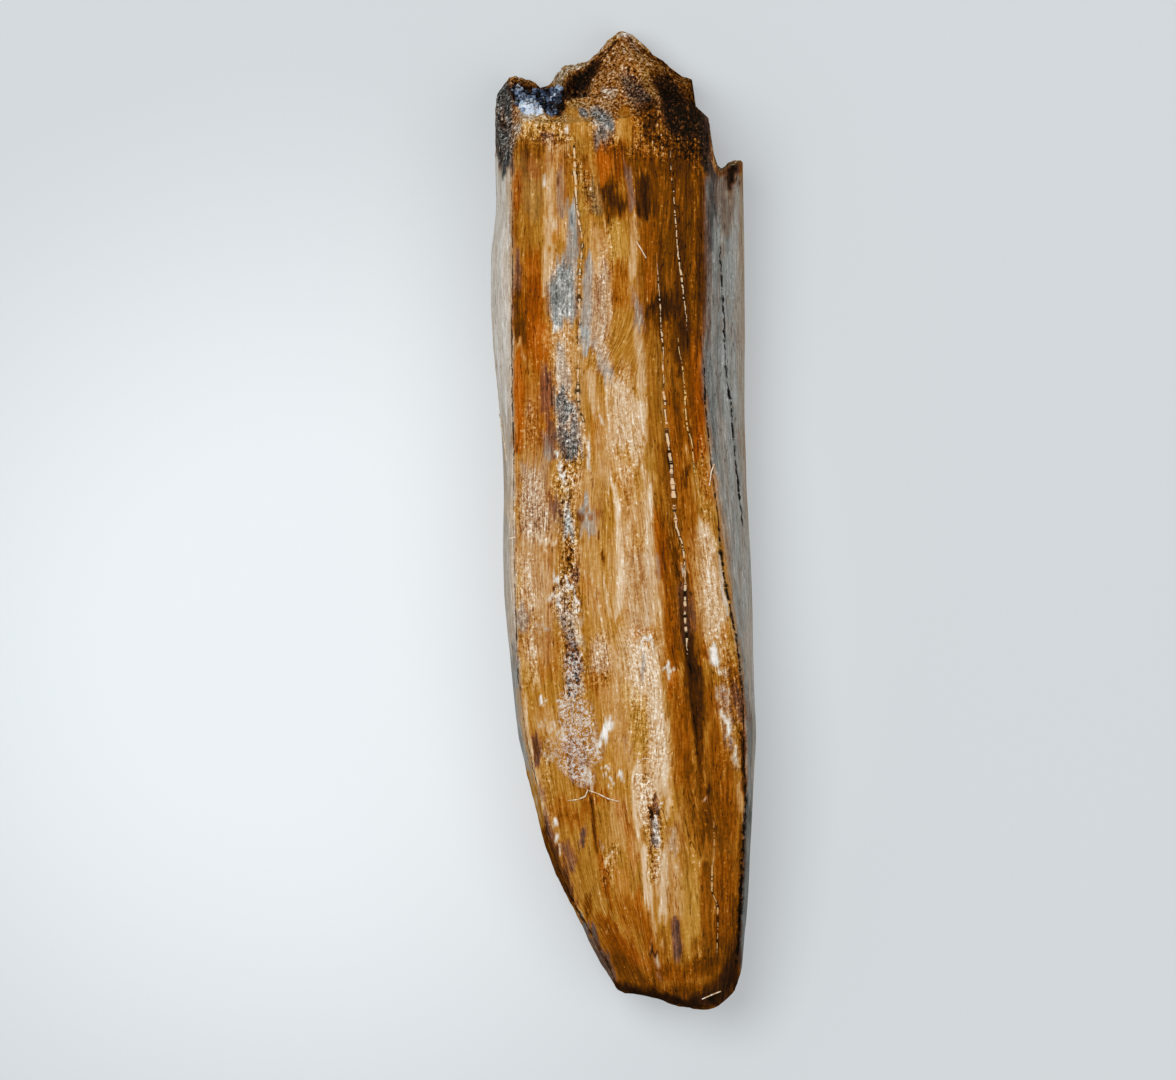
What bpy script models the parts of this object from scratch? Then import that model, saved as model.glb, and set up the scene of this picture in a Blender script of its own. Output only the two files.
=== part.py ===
"""A worn fossil tooth of a tyrannosaur, lying on its back.

The length runs along Y, with the broken base at +Y and the worn tip at -Y.
The front face, which carries the serrated ridge, looks up along +Z.
The tooth rests on a small flat spot at z = 0, and the origin is under the
middle of its box. All sizes below are in millimetres and become metres when
the meshes are made.
"""
import math

import bmesh
import bpy
import numpy as np
from mathutils import Vector, noise

METRES = 0.001

# Driving sizes of the whole tooth
LENGTH = 26.6
WIDTH = 7.21
DEPTH = 5.4

# Outlines as shares: first the way along from tip to base, then across from left to right
LEFT_EDGE = ((0.017, 0.483), (0.052, 0.404), (0.099, 0.318), (0.15, 0.226), (0.217, 0.158),
             (0.29, 0.098), (0.36, 0.072), (0.44, 0.048), (0.54, 0.047), (0.62, 0.03),
             (0.69, 0.006), (0.77, 0.003), (0.815, 0.02), (0.87, 0.014), (0.92, 0.014), (1.0, 0.03))
RIGHT_EDGE = ((0.017, 0.92), (0.038, 0.943), (0.075, 0.958), (0.111, 0.97), (0.17, 0.98),
              (0.23, 0.99), (0.275, 1.0), (0.33, 0.993), (0.43, 0.985), (0.54, 0.964),
              (0.64, 0.958), (0.78, 0.954), (0.87, 0.949), (1.0, 0.945))
LEFT_SHOULDER = ((0.0, 0.52), (0.03, 0.475), (0.075, 0.385), (0.122, 0.293), (0.17, 0.225),
                 (0.217, 0.186), (0.273, 0.148), (0.331, 0.112), (0.402, 0.09), (0.52, 0.082),
                 (0.611, 0.089), (0.7, 0.085), (0.86, 0.083), (0.93, 0.09), (1.0, 0.1))
RIGHT_SHOULDER = ((0.0, 0.89), (0.04, 0.915), (0.122, 0.938), (0.2, 0.96), (0.284, 0.965),
                  (0.331, 0.948), (0.379, 0.925), (0.43, 0.895), (0.494, 0.864), (0.55, 0.84),
                  (0.6, 0.812), (0.65, 0.797), (0.78, 0.8), (0.87, 0.79), (1.0, 0.78))
SERRATED_LINE = ((0.0, 0.6), (0.05, 0.53), (0.11, 0.44), (0.18, 0.404), (0.254, 0.374),
                 (0.315, 0.33), (0.386, 0.312), (0.46, 0.306), (0.52, 0.315), (0.57, 0.34),
                 (0.62, 0.332), (0.7, 0.334), (0.8, 0.342), (0.88, 0.34), (1.0, 0.33))
PALE_RIDGE = ((0.0, 0.64), (0.08, 0.605), (0.16, 0.575), (0.223, 0.54), (0.336, 0.56),
              (0.42, 0.495), (0.5, 0.485), (0.57, 0.455), (0.645, 0.44), (0.7, 0.54),
              (0.77, 0.545), (0.86, 0.505), (1.0, 0.49))
LONG_CRACK = ((0.0, 0.85), (0.06, 0.853), (0.139, 0.838), (0.186, 0.826), (0.223, 0.8),
              (0.266, 0.789), (0.336, 0.766), (0.381, 0.734), (0.42, 0.729), (0.484, 0.694),
              (0.55, 0.675), (0.65, 0.646), (0.74, 0.634), (0.85, 0.665), (1.0, 0.67))

# Heights in millimetres: the crest of the front face, the widest level and the underside.
# The underside line dips below zero, where it is cut flat and makes the resting spot.
CREST_HEIGHT = ((0.0, 3.35), (0.04, 3.85), (0.12, 4.45), (0.3, 5.05), (0.55, 5.33),
                (0.8, DEPTH), (1.0, 5.32))
WIDEST_HEIGHT = ((0.0, 2.15), (0.1, 2.1), (0.3, 2.2), (0.6, 2.3), (1.0, 2.35))
UNDERSIDE_HEIGHT = ((0.0, 1.0), (0.08, 0.42), (0.18, -0.02), (0.5, -0.38), (0.8, -0.14),
                    (0.92, 0.08), (1.0, 0.22))
LEFT_SHOULDER_DROP = ((0.0, 0.5), (0.15, 0.55), (0.4, 0.55), (0.7, 0.42), (1.0, 0.45))
RIGHT_SHOULDER_DROP = ((0.0, 0.5), (0.2, 0.6), (0.45, 0.62), (0.7, 0.55), (1.0, 0.6))

# How round each side is: powers of the curves from ridge to shoulder, and down to the underside
LEFT_ROOF_POWER = 1.6
RIGHT_ROOF_POWER = 1.7
LEFT_FLANK_POWER = 1.05
RIGHT_FLANK_POWER = 1.45
UNDERSIDE_POWER = 0.9

# The broken base: how far along its front lip and its rear rim stand, over the way across
BREAK_FRONT = ((0.0, 0.865), (0.06, 0.862), (0.1, 0.885), (0.12, 0.912), (0.2, 0.914),
               (0.3, 0.912), (0.41, 0.904), (0.5, 0.908), (0.6, 0.918), (0.7, 0.926),
               (0.76, 0.924), (0.8, 0.914), (0.825, 0.905), (0.836, 0.88), (0.84, 0.863),
               (0.86, 0.859), (0.9, 0.865), (1.0, 0.864))
BREAK_REAR = ((0.0, 0.925), (0.023, 0.94), (0.055, 0.946), (0.07, 0.952), (0.15, 0.952),
              (0.18, 0.944), (0.22, 0.943), (0.245, 0.957), (0.28, 0.963), (0.362, 0.967),
              (0.404, 0.976), (0.483, 0.999), (0.502, 1.0), (0.53, 0.997), (0.6, 0.981),
              (0.69, 0.965), (0.755, 0.95), (0.763, 0.925), (0.79, 0.916), (0.825, 0.909),
              (0.836, 0.885), (0.84, 0.865), (0.86, 0.859), (0.9, 0.865), (1.0, 0.864))
BREAK_GRAIN = 0.11
BREAK_GRAIN_SIZES = (0.55, 0.27)
BREAK_PLACE = 0.9
FRONT_LIP_DROP = 0.2
REAR_RIM_HEIGHT = 1.0

# Pits in the break: place across, height, half width, half height and depth in millimetres
PULP_HOLLOW = (0.19, 2.3, 0.78, 1.5, 2.2)
PULP_CLEFT = (0.34, 2.7, 0.4, 1.0, 1.1)
MIDDLE_POCKET = (0.53, 3.3, 0.45, 0.6, 0.45)
RIGHT_POCKET = (0.71, 3.4, 0.6, 0.75, 0.5)
PITS = (PULP_HOLLOW, PULP_CLEFT, MIDDLE_POCKET, RIGHT_POCKET)
# A pit deepens between these shares of its half width, and is smooth where it is this deep
PIT_SLOPE = (0.1, 1.05)
SMOOTH_PIT_DEPTHS = (0.2, 0.8)

# The worn tip: how far along its end stands, over the way across
WORN_TIP = ((0.46, 0.024), (0.483, 0.017), (0.6, 0.009), (0.687, 0.002), (0.77, 0.0),
            (0.83, 0.0), (0.875, 0.006), (0.91, 0.015), (0.935, 0.025))
TIP_MIDDLE = (0.7, 2.3)
TIP_EDGE_ROUNDING = 0.55
TIP_EDGE_POWER = 3
TIP_GRAIN = 0.03
TIP_GRAIN_SIZE = 0.7
TIP_PLACE = 0.02

# The serrated ridge down the front, its beads, and the second ridge behind
BEAD_PITCH = 0.49
BEAD_HEIGHT = 0.15
BEAD_HALF_WIDTH = 0.14
BEAD_RANGE = (0.55, 0.885)
BEAD_START = 0.5 * BEAD_PITCH
BEADS_FADE_IN = 0.07
BEADS_FADE_OUT = 0.015
HEIGHT_BETWEEN_BEADS = 0.25
REAR_RIDGE_HEIGHT = 0.16
REAR_RIDGE_PLACE = 0.32
REAR_RIDGE_HALF_WIDTH = 0.035
REAR_RIDGE_START = (0.05, 0.2)

# Grooves and the crust on the front face
CRACK_DEPTH = 0.13
CRACK_HALF_WIDTH = 0.11
CRACK_RANGE = (0.17, 0.745)
CRACK_FADE_IN = 0.1
CRACK_FADE_OUT = 0.05
CRUST_HEIGHT = 0.13
CRUST_HALF_WIDTH = 0.42
CRUST_RANGE = (0.2, 0.545)
CRUST_FADE = 0.05
CRUST_LUMP_SIZE = 0.5
CRUST_SHARE_BELOW_LUMPS = 0.35

# Low waves of the worn surface: their height, their size, and how they are stretched
FACE_WAVES = 0.05
FACE_WAVE_SIZE = 1.6
FACE_WAVES_ACROSS = 2.2
FACE_WAVES_ALONG = 0.5
FLANK_WAVE_SIZE = 1.3
FLANK_WAVES_ALONG = 0.6
FLANK_WAVES_UPWARDS = 2.0

# How the walls are divided
COLUMNS = (4, 7, 6, 6, 6, 5, 7, 7)
TIP_ROWS = 7
BASE_ROWS = 6
MEETING_STEPS = 14
TIP_FIRST_GUESS = 0.01
BASE_FIRST_GUESS = 0.93
COLUMN_CROWDING = 0.55
TIP_ROW_CROWDING = 1.3
BEAD_ROWS_MARGIN = 0.02
FIXED_ROWS_FROM = 0.075
FIXED_ROWS_TO = 0.84
PLAIN_ROW_STEP = 0.56
BREAK_RINGS = 8
PULP_RINGS = (1.0, 0.82, 0.64, 0.46, 0.25)
TIP_RINGS = 4

# The crystals that line the pulp hollow
CRUST_COLUMN_STEP = 2
CRUST_GAP = 0.08
CRUST_SKIN = 0.07
CRYSTAL_HEIGHTS = (0.08, 0.24)
CRYSTAL_SEED = 5

# Finishes: display colours and roughness, and the angle from which an edge stays sharp
ENAMEL_COLOUR = (0.33, 0.16, 0.06)
ENAMEL_ROUGHNESS = 0.32
CRYSTAL_COLOUR = (0.7, 0.76, 0.82)
CRYSTAL_ROUGHNESS = 0.15
SHARP_ANGLE = 40


def smooth(points):
    """A smooth line through hand-placed points, as a function."""
    knots = np.array([point[0] for point in points])
    values = np.array([point[1] for point in points])
    slopes = np.gradient(values, knots)

    def line(at):
        at = np.clip(at, knots[0], knots[-1])
        cell = np.clip(np.searchsorted(knots, at) - 1, 0, len(knots) - 2)
        span = knots[cell + 1] - knots[cell]
        t = (at - knots[cell]) / span
        start = (1 + 2 * t) * (1 - t) ** 2 * values[cell] + t * (1 - t) ** 2 * span * slopes[cell]
        end = t * t * (3 - 2 * t) * values[cell + 1] + t * t * (t - 1) * span * slopes[cell + 1]
        return start + end
    return line


def straight(points):
    """A broken line through hand-placed points, as a function."""
    knots = [point[0] for point in points]
    values = [point[1] for point in points]
    return lambda at: np.interp(at, knots, values)


def step(low, high, value):
    """A smooth step from 0 at low to 1 at high."""
    t = np.clip((value - low) / (high - low), 0.0, 1.0)
    return t * t * (3 - 2 * t)


def across(share):
    """Millimetres to the right of the middle, from a share of the width."""
    return (share - 0.5) * WIDTH


def across_share(x):
    """The share of the width at a place in millimetres."""
    return x / WIDTH + 0.5


def along(share):
    """Millimetres towards the base from the middle, from a share of the length."""
    return (share - 0.5) * LENGTH


def along_share(y):
    """The share of the length at a place in millimetres."""
    return y / LENGTH + 0.5


def ripple(x, y, z, size):
    """Even noise between about -1 and 1, of lumps of a given size in millimetres."""
    shape = np.shape(x)
    spots = np.stack([np.ravel(x), np.ravel(y), np.ravel(z)], axis=1) / size
    values = [noise.noise(Vector(spot)) for spot in spots]
    return np.array(values).reshape(shape)


left_edge, right_edge = smooth(LEFT_EDGE), smooth(RIGHT_EDGE)
left_shoulder, right_shoulder = smooth(LEFT_SHOULDER), smooth(RIGHT_SHOULDER)
serrated_line, pale_ridge, long_crack = smooth(SERRATED_LINE), smooth(PALE_RIDGE), smooth(LONG_CRACK)
crest_height, widest_height = smooth(CREST_HEIGHT), smooth(WIDEST_HEIGHT)
underside_height = smooth(UNDERSIDE_HEIGHT)
left_drop, right_drop = smooth(LEFT_SHOULDER_DROP), smooth(RIGHT_SHOULDER_DROP)
break_front, break_rear = straight(BREAK_FRONT), straight(BREAK_REAR)
worn_tip = smooth(WORN_TIP)


def bead_relief(x, share):
    """Height of the serrated ridge and its beads above the face."""
    offset = x - across(serrated_line(share))
    ridge = np.exp(-(offset / BEAD_HALF_WIDTH) ** 2)
    beads = 0.5 - 0.5 * np.cos(2 * math.pi * (along(share) - BEAD_START) / BEAD_PITCH)
    worn = step(BEAD_RANGE[0], BEAD_RANGE[0] + BEADS_FADE_IN, share)
    worn = worn * (1 - step(BEAD_RANGE[1], BEAD_RANGE[1] + BEADS_FADE_OUT, share))
    return BEAD_HEIGHT * ridge * (HEIGHT_BETWEEN_BEADS + (1 - HEIGHT_BETWEEN_BEADS) * beads) * worn


def crack_relief(x, share):
    """Depth of the long crack down the right of the face."""
    offset = x - across(long_crack(share))
    groove = np.exp(-(offset / CRACK_HALF_WIDTH) ** 2)
    present = step(CRACK_RANGE[0], CRACK_RANGE[0] + CRACK_FADE_IN, share)
    present = present * (1 - step(CRACK_RANGE[1] - CRACK_FADE_OUT, CRACK_RANGE[1], share))
    return -CRACK_DEPTH * groove * present


def crust_relief(x, share):
    """Height of the rough mineral crust that fills the worn end of the serrated line."""
    offset = x - across(serrated_line(share))
    band = np.exp(-(offset / CRUST_HALF_WIDTH) ** 4)
    present = step(CRUST_RANGE[0], CRUST_RANGE[0] + CRUST_FADE, share)
    present = present * (1 - step(CRUST_RANGE[1] - CRUST_FADE, CRUST_RANGE[1], share))
    lumps = ripple(x, along(share), np.zeros_like(x), CRUST_LUMP_SIZE)
    return CRUST_HEIGHT * band * present * (CRUST_SHARE_BELOW_LUMPS + lumps)


def face_height(x, share):
    """Height of the front face: a low roof along the pale ridge, with its relief."""
    ridge = across(pale_ridge(share))
    left, right = across(left_shoulder(share)), across(right_shoulder(share))
    down_left = left_drop(share) * np.clip((ridge - x) / (ridge - left), 0, None) ** LEFT_ROOF_POWER
    down_right = right_drop(share) * np.clip((x - ridge) / (right - ridge), 0, None) ** RIGHT_ROOF_POWER
    rows_apart = along(share) * FACE_WAVES_ALONG
    waves = FACE_WAVES * ripple(x * FACE_WAVES_ACROSS, rows_apart, np.zeros_like(x), FACE_WAVE_SIZE)
    height = crest_height(share) - down_left - down_right + waves
    return height + bead_relief(x, share) + crack_relief(x, share) + crust_relief(x, share)


def flank(edge, shoulder, share, climb, power):
    """A side wall, from its widest place (climb 0) up to the shoulder of the face (climb 1)."""
    low = widest_height(share)
    high = face_height(across(shoulder(share)), share)
    angle = 0.5 * math.pi * climb
    out = across(edge(share)) - across(shoulder(share))
    x = across(shoulder(share)) + out * np.cos(angle) ** power
    z = low + (high - low) * np.sin(angle) ** power
    waves = ripple(x, along(share) * FLANK_WAVES_ALONG, z * FLANK_WAVES_UPWARDS, FLANK_WAVE_SIZE)
    return x + np.sign(out) * FACE_WAVES * waves * np.sin(2 * angle), z


def underside(share, turn):
    """The rounded back, from the right side (turn 0) to the left side (turn 1)."""
    middle = 0.5 * (across(left_edge(share)) + across(right_edge(share)))
    half = 0.5 * (across(right_edge(share)) - across(left_edge(share)))
    angle = math.pi * turn
    reach = np.abs(np.cos(angle)) ** UNDERSIDE_POWER * np.sign(np.cos(angle))
    drop = np.sin(angle) ** UNDERSIDE_POWER
    low = widest_height(share)
    ridge = REAR_RIDGE_HEIGHT * np.exp(-((turn - REAR_RIDGE_PLACE) / REAR_RIDGE_HALF_WIDTH) ** 2)
    ridge = ridge * step(*REAR_RIDGE_START, share)
    x = middle + (half + ridge) * reach
    z = low - (low - underside_height(share) + ridge) * drop
    return x, np.maximum(z, 0.0)


def wall(around, share):
    """A point of the outer wall: eight stretches around, share of the length along."""
    stretch, part = np.divmod(around, 1.0)
    guides = [left_shoulder, serrated_line, pale_ridge, long_crack, right_shoulder]
    places = [across(guide(share)) for guide in guides]
    x_left, z_left = flank(left_edge, left_shoulder, share, np.clip(part, 0, 1), LEFT_FLANK_POWER)
    x_right, z_right = flank(right_edge, right_shoulder, share, 1 - part, RIGHT_FLANK_POWER)
    x_face = np.zeros_like(share)
    for index in range(4):
        inside = stretch == index + 1
        between = places[index] + (places[index + 1] - places[index]) * part
        x_face = np.where(inside, between, x_face)
    z_face = face_height(x_face, share)
    x_under, z_under = underside(share, np.where(stretch == 7, 0.5 + part / 2, part / 2))
    x = np.select([stretch == 0, stretch <= 4, stretch == 5], [x_left, x_face, x_right], x_under)
    z = np.select([stretch == 0, stretch <= 4, stretch == 5], [z_left, z_face, z_right], z_under)
    return x, z


def break_share(x, z):
    """How far along the broken base stands at a place of the cross-section."""
    place = across_share(x)
    crest = crest_height(BREAK_PLACE)
    deep = np.clip((crest - FRONT_LIP_DROP - z) / (crest - REAR_RIM_HEIGHT), 0, 1)
    share = break_front(place) + (break_rear(place) - break_front(place)) * deep
    sink = np.zeros_like(share)
    for pit_place, pit_z, half_x, half_z, pit_depth in PITS:
        away = np.hypot((x - across(pit_place)) / half_x, (z - pit_z) / half_z)
        sink = np.maximum(sink, pit_depth * (1 - step(*PIT_SLOPE, away)))
    coarse, fine = BREAK_GRAIN_SIZES
    grain = ripple(x, np.zeros_like(x), z, coarse) + 0.5 * ripple(x, z, np.ones_like(x), fine)
    grain = grain * (1 - step(*SMOOTH_PIT_DEPTHS, sink))
    return share + (BREAK_GRAIN * grain - sink) / LENGTH


def tip_share(x, z):
    """How far along the worn tip stands at a place of the cross-section."""
    middle = TIP_MIDDLE[1]
    half = 0.5 * (crest_height(TIP_PLACE) - underside_height(TIP_PLACE))
    edge = np.clip(np.abs(z - middle) / half, 0, 1)
    grain = TIP_GRAIN * ripple(x, np.zeros_like(x), z, TIP_GRAIN_SIZE)
    return worn_tip(across_share(x)) + (TIP_EDGE_ROUNDING * edge ** TIP_EDGE_POWER + grain) / LENGTH


def columns():
    """Places around the wall, closer together beside the ridge and the crack."""
    places = []
    for index, count in enumerate(COLUMNS):
        parts = np.arange(count) / count
        if 1 <= index <= 4:
            parts = parts - COLUMN_CROWDING * np.sin(2 * math.pi * parts) / (2 * math.pi)
        places.extend(index + parts)
    return np.array(places)


def fixed_rows():
    """Places along the wall that are the same all the way round, two for each bead."""
    half_pitch = BEAD_PITCH / 2 / LENGTH
    bead_zero = along_share(BEAD_START)
    first = bead_zero + half_pitch * math.ceil((BEAD_RANGE[0] + BEAD_ROWS_MARGIN - bead_zero) / half_pitch)
    beads = np.arange(first, BEAD_RANGE[1] - half_pitch, half_pitch)
    beads = beads[beads < FIXED_ROWS_TO]
    plain = np.linspace(FIXED_ROWS_FROM, first, round((first - FIXED_ROWS_FROM) * LENGTH / PLAIN_ROW_STEP))
    return np.concatenate([plain[:-1], beads])


def end_places(around, guess, end_share):
    """Where each column of the wall meets an end, closed in on by halves."""
    share = np.full_like(around, guess)
    for _ in range(MEETING_STEPS):
        x, z = wall(around, share)
        share = 0.5 * (share + end_share(x, z))
    return share


def rows(around):
    """The share of the length of every row, for each column."""
    tip = end_places(around, TIP_FIRST_GUESS, tip_share)
    base = end_places(around, BASE_FIRST_GUESS, break_share)
    middle = fixed_rows()
    low = (np.arange(TIP_ROWS) / TIP_ROWS) ** TIP_ROW_CROWDING
    high = np.arange(1, BASE_ROWS + 1) / BASE_ROWS
    shares = [tip + (middle[0] - tip) * part for part in low]
    shares += [np.full_like(around, place) for place in middle]
    shares += [middle[-1] + (base - middle[-1]) * part for part in high]
    return np.array(shares)


def end_ring(x, z, end_share):
    return np.stack([x, along(end_share(x, z)), z], axis=1)


def tip_cap(ring):
    """Rings from the edge of the worn tip in to its middle."""
    centre_x, centre_z = across(TIP_MIDDLE[0]), TIP_MIDDLE[1]
    rings = []
    for number in range(1, TIP_RINGS):
        part = 1 - number / TIP_RINGS
        x = centre_x + (ring[:, 0] - centre_x) * part
        z = centre_z + (ring[:, 2] - centre_z) * part
        rings.append(end_ring(x, z, tip_share))
    return rings, end_ring(np.array([centre_x]), np.array([centre_z]), tip_share)


def break_cap(ring):
    """Rings from the edge of the break in to the rim of the pulp pits, and rings inside it."""
    place, centre_z, half_x, half_z, _ = PULP_HOLLOW
    centre_x = across(place)
    turn = np.arctan2((ring[:, 2] - centre_z) / half_z, (ring[:, 0] - centre_x) / half_x)
    rim_x, rim_z = half_x * np.cos(turn), half_z * np.sin(turn)
    outer = []
    for number in range(1, BREAK_RINGS):
        part = number / BREAK_RINGS
        x = ring[:, 0] + (centre_x + rim_x - ring[:, 0]) * part
        z = ring[:, 2] + (centre_z + rim_z - ring[:, 2]) * part
        outer.append(end_ring(x, z, break_share))
    inner = [end_ring(centre_x + rim_x * part, centre_z + rim_z * part, break_share) for part in PULP_RINGS]
    return outer, inner, end_ring(np.array([centre_x]), np.array([centre_z]), break_share)


def bridge(mesh, lower, upper):
    """Faces between two rings of vertices, or between a ring and one vertex."""
    total = len(lower)
    for index in range(total):
        after = (index + 1) % total
        if len(upper) == 1:
            mesh.faces.new((lower[index], lower[after], upper[0]))
        else:
            mesh.faces.new((lower[index], lower[after], upper[after], upper[index]))


def add_ring(mesh, points):
    return [mesh.verts.new(point * METRES) for point in points]


def material(name, colour, roughness):
    finish = bpy.data.materials.new(name)
    finish.use_nodes = True
    shader = finish.node_tree.nodes["Principled BSDF"]
    shader.inputs["Base Color"].default_value = (*colour, 1.0)
    shader.inputs["Roughness"].default_value = roughness
    shader.inputs["Metallic"].default_value = 0.0
    return finish


def add_object(name, mesh, finish, sharp_from):
    """A named object from a bmesh, with its faces turned outwards."""
    bmesh.ops.recalc_face_normals(mesh, faces=mesh.faces)
    data = bpy.data.meshes.new(name)
    mesh.to_mesh(data)
    mesh.free()
    data.materials.append(finish)
    piece = bpy.data.objects.new(name, data)
    bpy.context.collection.objects.link(piece)
    if sharp_from:
        data.shade_smooth()
        data.set_sharp_from_angle(angle=math.radians(sharp_from))
    return piece


def flatten_resting_spot(mesh):
    """The faces that lie flat on the ground become one face."""
    flat = [face for face in mesh.faces if all(vert.co.z == 0.0 for vert in face.verts)]
    bmesh.ops.dissolve_faces(mesh, faces=flat, use_verts=True)


def build_tooth():
    """The tooth as one closed body. Returns the rings of its pulp hollow too."""
    around = columns()
    mesh = bmesh.new()
    rings = []
    for shares in rows(around):
        x, z = wall(around, shares)
        rings.append(np.stack([x, along(shares), z], axis=1))
    tip_rings, tip_centre = tip_cap(rings[0])
    break_rings, pulp_rings, pulp_centre = break_cap(rings[-1])
    ordered = [tip_centre] + tip_rings[::-1] + rings + break_rings + pulp_rings + [pulp_centre]
    made = [add_ring(mesh, ring) for ring in ordered]
    bridge(mesh, made[1], made[0])
    for lower, upper in zip(made[1:], made[2:]):
        bridge(mesh, lower, upper)
    bmesh.ops.recalc_face_normals(mesh, faces=mesh.faces)
    flatten_resting_spot(mesh)
    tooth = add_object("tooth", mesh, material("fossil_enamel", ENAMEL_COLOUR, ENAMEL_ROUGHNESS), SHARP_ANGLE)
    return tooth, pulp_rings, pulp_centre


def ring_normals(rings, centre):
    """Directions out of the hollow's wall at each vertex of its rings."""
    grid = np.array(rings)
    inward = np.roll(grid, -1, axis=0) - grid
    inward[-1] = centre[0] - grid[-1]
    sideways = np.roll(grid, -1, axis=1) - np.roll(grid, 1, axis=1)
    normals = np.cross(sideways, inward)
    normals = normals / np.linalg.norm(normals, axis=2, keepdims=True)
    facing = np.sign(normals[:, :, 1].sum())
    return normals * facing


def build_crystal_crust(pulp_rings, pulp_centre):
    """A druse of small pointed crystals that lines the pulp hollow, as one closed crust."""
    inner = pulp_rings[1:]
    normals = ring_normals(inner, pulp_centre)[:, ::CRUST_COLUMN_STEP]
    grid = np.array(inner)[:, ::CRUST_COLUMN_STEP]
    draw = np.random.default_rng(CRYSTAL_SEED)
    mesh = bmesh.new()
    below = [add_ring(mesh, ring) for ring in grid + CRUST_GAP * normals]
    above = [add_ring(mesh, ring) for ring in grid + (CRUST_GAP + CRUST_SKIN) * normals]
    floor_middle = add_ring(mesh, pulp_centre + np.array([0, CRUST_GAP, 0]))
    top_middle = add_ring(mesh, pulp_centre + np.array([0, CRUST_GAP + CRUST_SKIN, 0]))
    bridge(mesh, below[0], above[0])
    for outer, nearer in zip(below, below[1:]):
        bridge(mesh, outer, nearer)
    bridge(mesh, below[-1], floor_middle)
    bridge(mesh, above[-1], top_middle)
    total = grid.shape[1]
    for ring in range(len(grid) - 1):
        for index in range(total):
            after = (index + 1) % total
            corners = [above[ring][index], above[ring][after],
                       above[ring + 1][after], above[ring + 1][index]]
            base = sum((corner.co for corner in corners), Vector()) / 4
            out = Vector(normals[ring, index] + normals[ring + 1, after]).normalized()
            point = mesh.verts.new(base + out * draw.uniform(*CRYSTAL_HEIGHTS) * METRES)
            for first, second in zip(corners, corners[1:] + corners[:1]):
                mesh.faces.new((first, second, point))
    finish = material("crystal_crust", CRYSTAL_COLOUR, CRYSTAL_ROUGHNESS)
    return add_object("pulp_hollow_crystals", mesh, finish, None)


def main():
    for thing in list(bpy.data.objects):
        bpy.data.objects.remove(thing)
    tooth, pulp_rings, pulp_centre = build_tooth()
    build_crystal_crust(pulp_rings, pulp_centre)


main()
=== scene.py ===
"""The finish of a worn fossil tooth that lies on its back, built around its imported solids."""
import math

import bmesh
import bpy
import numpy as np
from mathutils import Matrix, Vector, noise
from mathutils.bvhtree import BVHTree


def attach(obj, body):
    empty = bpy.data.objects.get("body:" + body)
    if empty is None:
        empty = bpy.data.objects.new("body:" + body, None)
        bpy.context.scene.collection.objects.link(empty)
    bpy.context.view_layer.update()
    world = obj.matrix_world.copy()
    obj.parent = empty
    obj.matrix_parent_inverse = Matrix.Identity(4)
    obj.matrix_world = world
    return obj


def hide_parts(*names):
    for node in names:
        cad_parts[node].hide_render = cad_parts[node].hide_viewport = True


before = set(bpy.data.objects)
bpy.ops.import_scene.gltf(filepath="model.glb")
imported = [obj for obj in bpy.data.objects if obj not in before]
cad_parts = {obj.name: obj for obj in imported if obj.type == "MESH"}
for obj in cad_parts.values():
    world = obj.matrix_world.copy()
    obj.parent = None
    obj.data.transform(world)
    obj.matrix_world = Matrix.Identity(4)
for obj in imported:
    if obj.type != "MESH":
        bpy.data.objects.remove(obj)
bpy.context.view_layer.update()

bl_info = {
    "name": "Fossil Tooth",
    "version": (1, 0, 0),
    "blender": (4, 5, 0),
    "location": "View3D > Sidebar > Fossil",
    "description": "Builds a worn fossil tooth with its mineral stains, crust and crystals",
    "category": "Add Mesh",
}

METRES = 0.001
# What turns a place or a seed into an even number that looks like chance
SCATTER = (127.1, 311.7, 74.7)
SCATTER_SCALE = 43758.5453

# The photograph's frame, and where the tooth's middle lies in it
PHOTO_WIDTH = 1176
PHOTO_HEIGHT = 1080
MM_PER_PIXEL = 0.0272
MIDDLE_PIXEL = (623.5, 520.0)

# Driving sizes of the whole tooth in millimetres
LENGTH = 26.6
WIDTH = 7.21
DEPTH = 5.4

# Outlines as shares: first the way along from tip to base, then across from left to right
LEFT_EDGE = ((0.017, 0.483), (0.052, 0.404), (0.099, 0.318), (0.15, 0.226), (0.217, 0.158),
             (0.29, 0.098), (0.36, 0.072), (0.44, 0.048), (0.54, 0.047), (0.62, 0.03),
             (0.69, 0.006), (0.77, 0.003), (0.815, 0.02), (0.87, 0.014), (0.92, 0.014), (1.0, 0.03))
RIGHT_EDGE = ((0.017, 0.92), (0.038, 0.943), (0.075, 0.958), (0.111, 0.97), (0.17, 0.98),
              (0.23, 0.99), (0.275, 1.0), (0.33, 0.993), (0.43, 0.985), (0.54, 0.964),
              (0.64, 0.958), (0.78, 0.954), (0.87, 0.949), (1.0, 0.945))
LEFT_SHOULDER = ((0.0, 0.52), (0.03, 0.475), (0.075, 0.385), (0.122, 0.293), (0.17, 0.225),
                 (0.217, 0.186), (0.273, 0.148), (0.331, 0.112), (0.402, 0.09), (0.52, 0.082),
                 (0.611, 0.089), (0.7, 0.085), (0.86, 0.083), (0.93, 0.09), (1.0, 0.1))
RIGHT_SHOULDER = ((0.0, 0.89), (0.04, 0.915), (0.122, 0.938), (0.2, 0.96), (0.284, 0.965),
                  (0.331, 0.948), (0.379, 0.925), (0.43, 0.895), (0.494, 0.864), (0.55, 0.84),
                  (0.6, 0.812), (0.65, 0.797), (0.78, 0.8), (0.87, 0.79), (1.0, 0.78))
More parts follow.
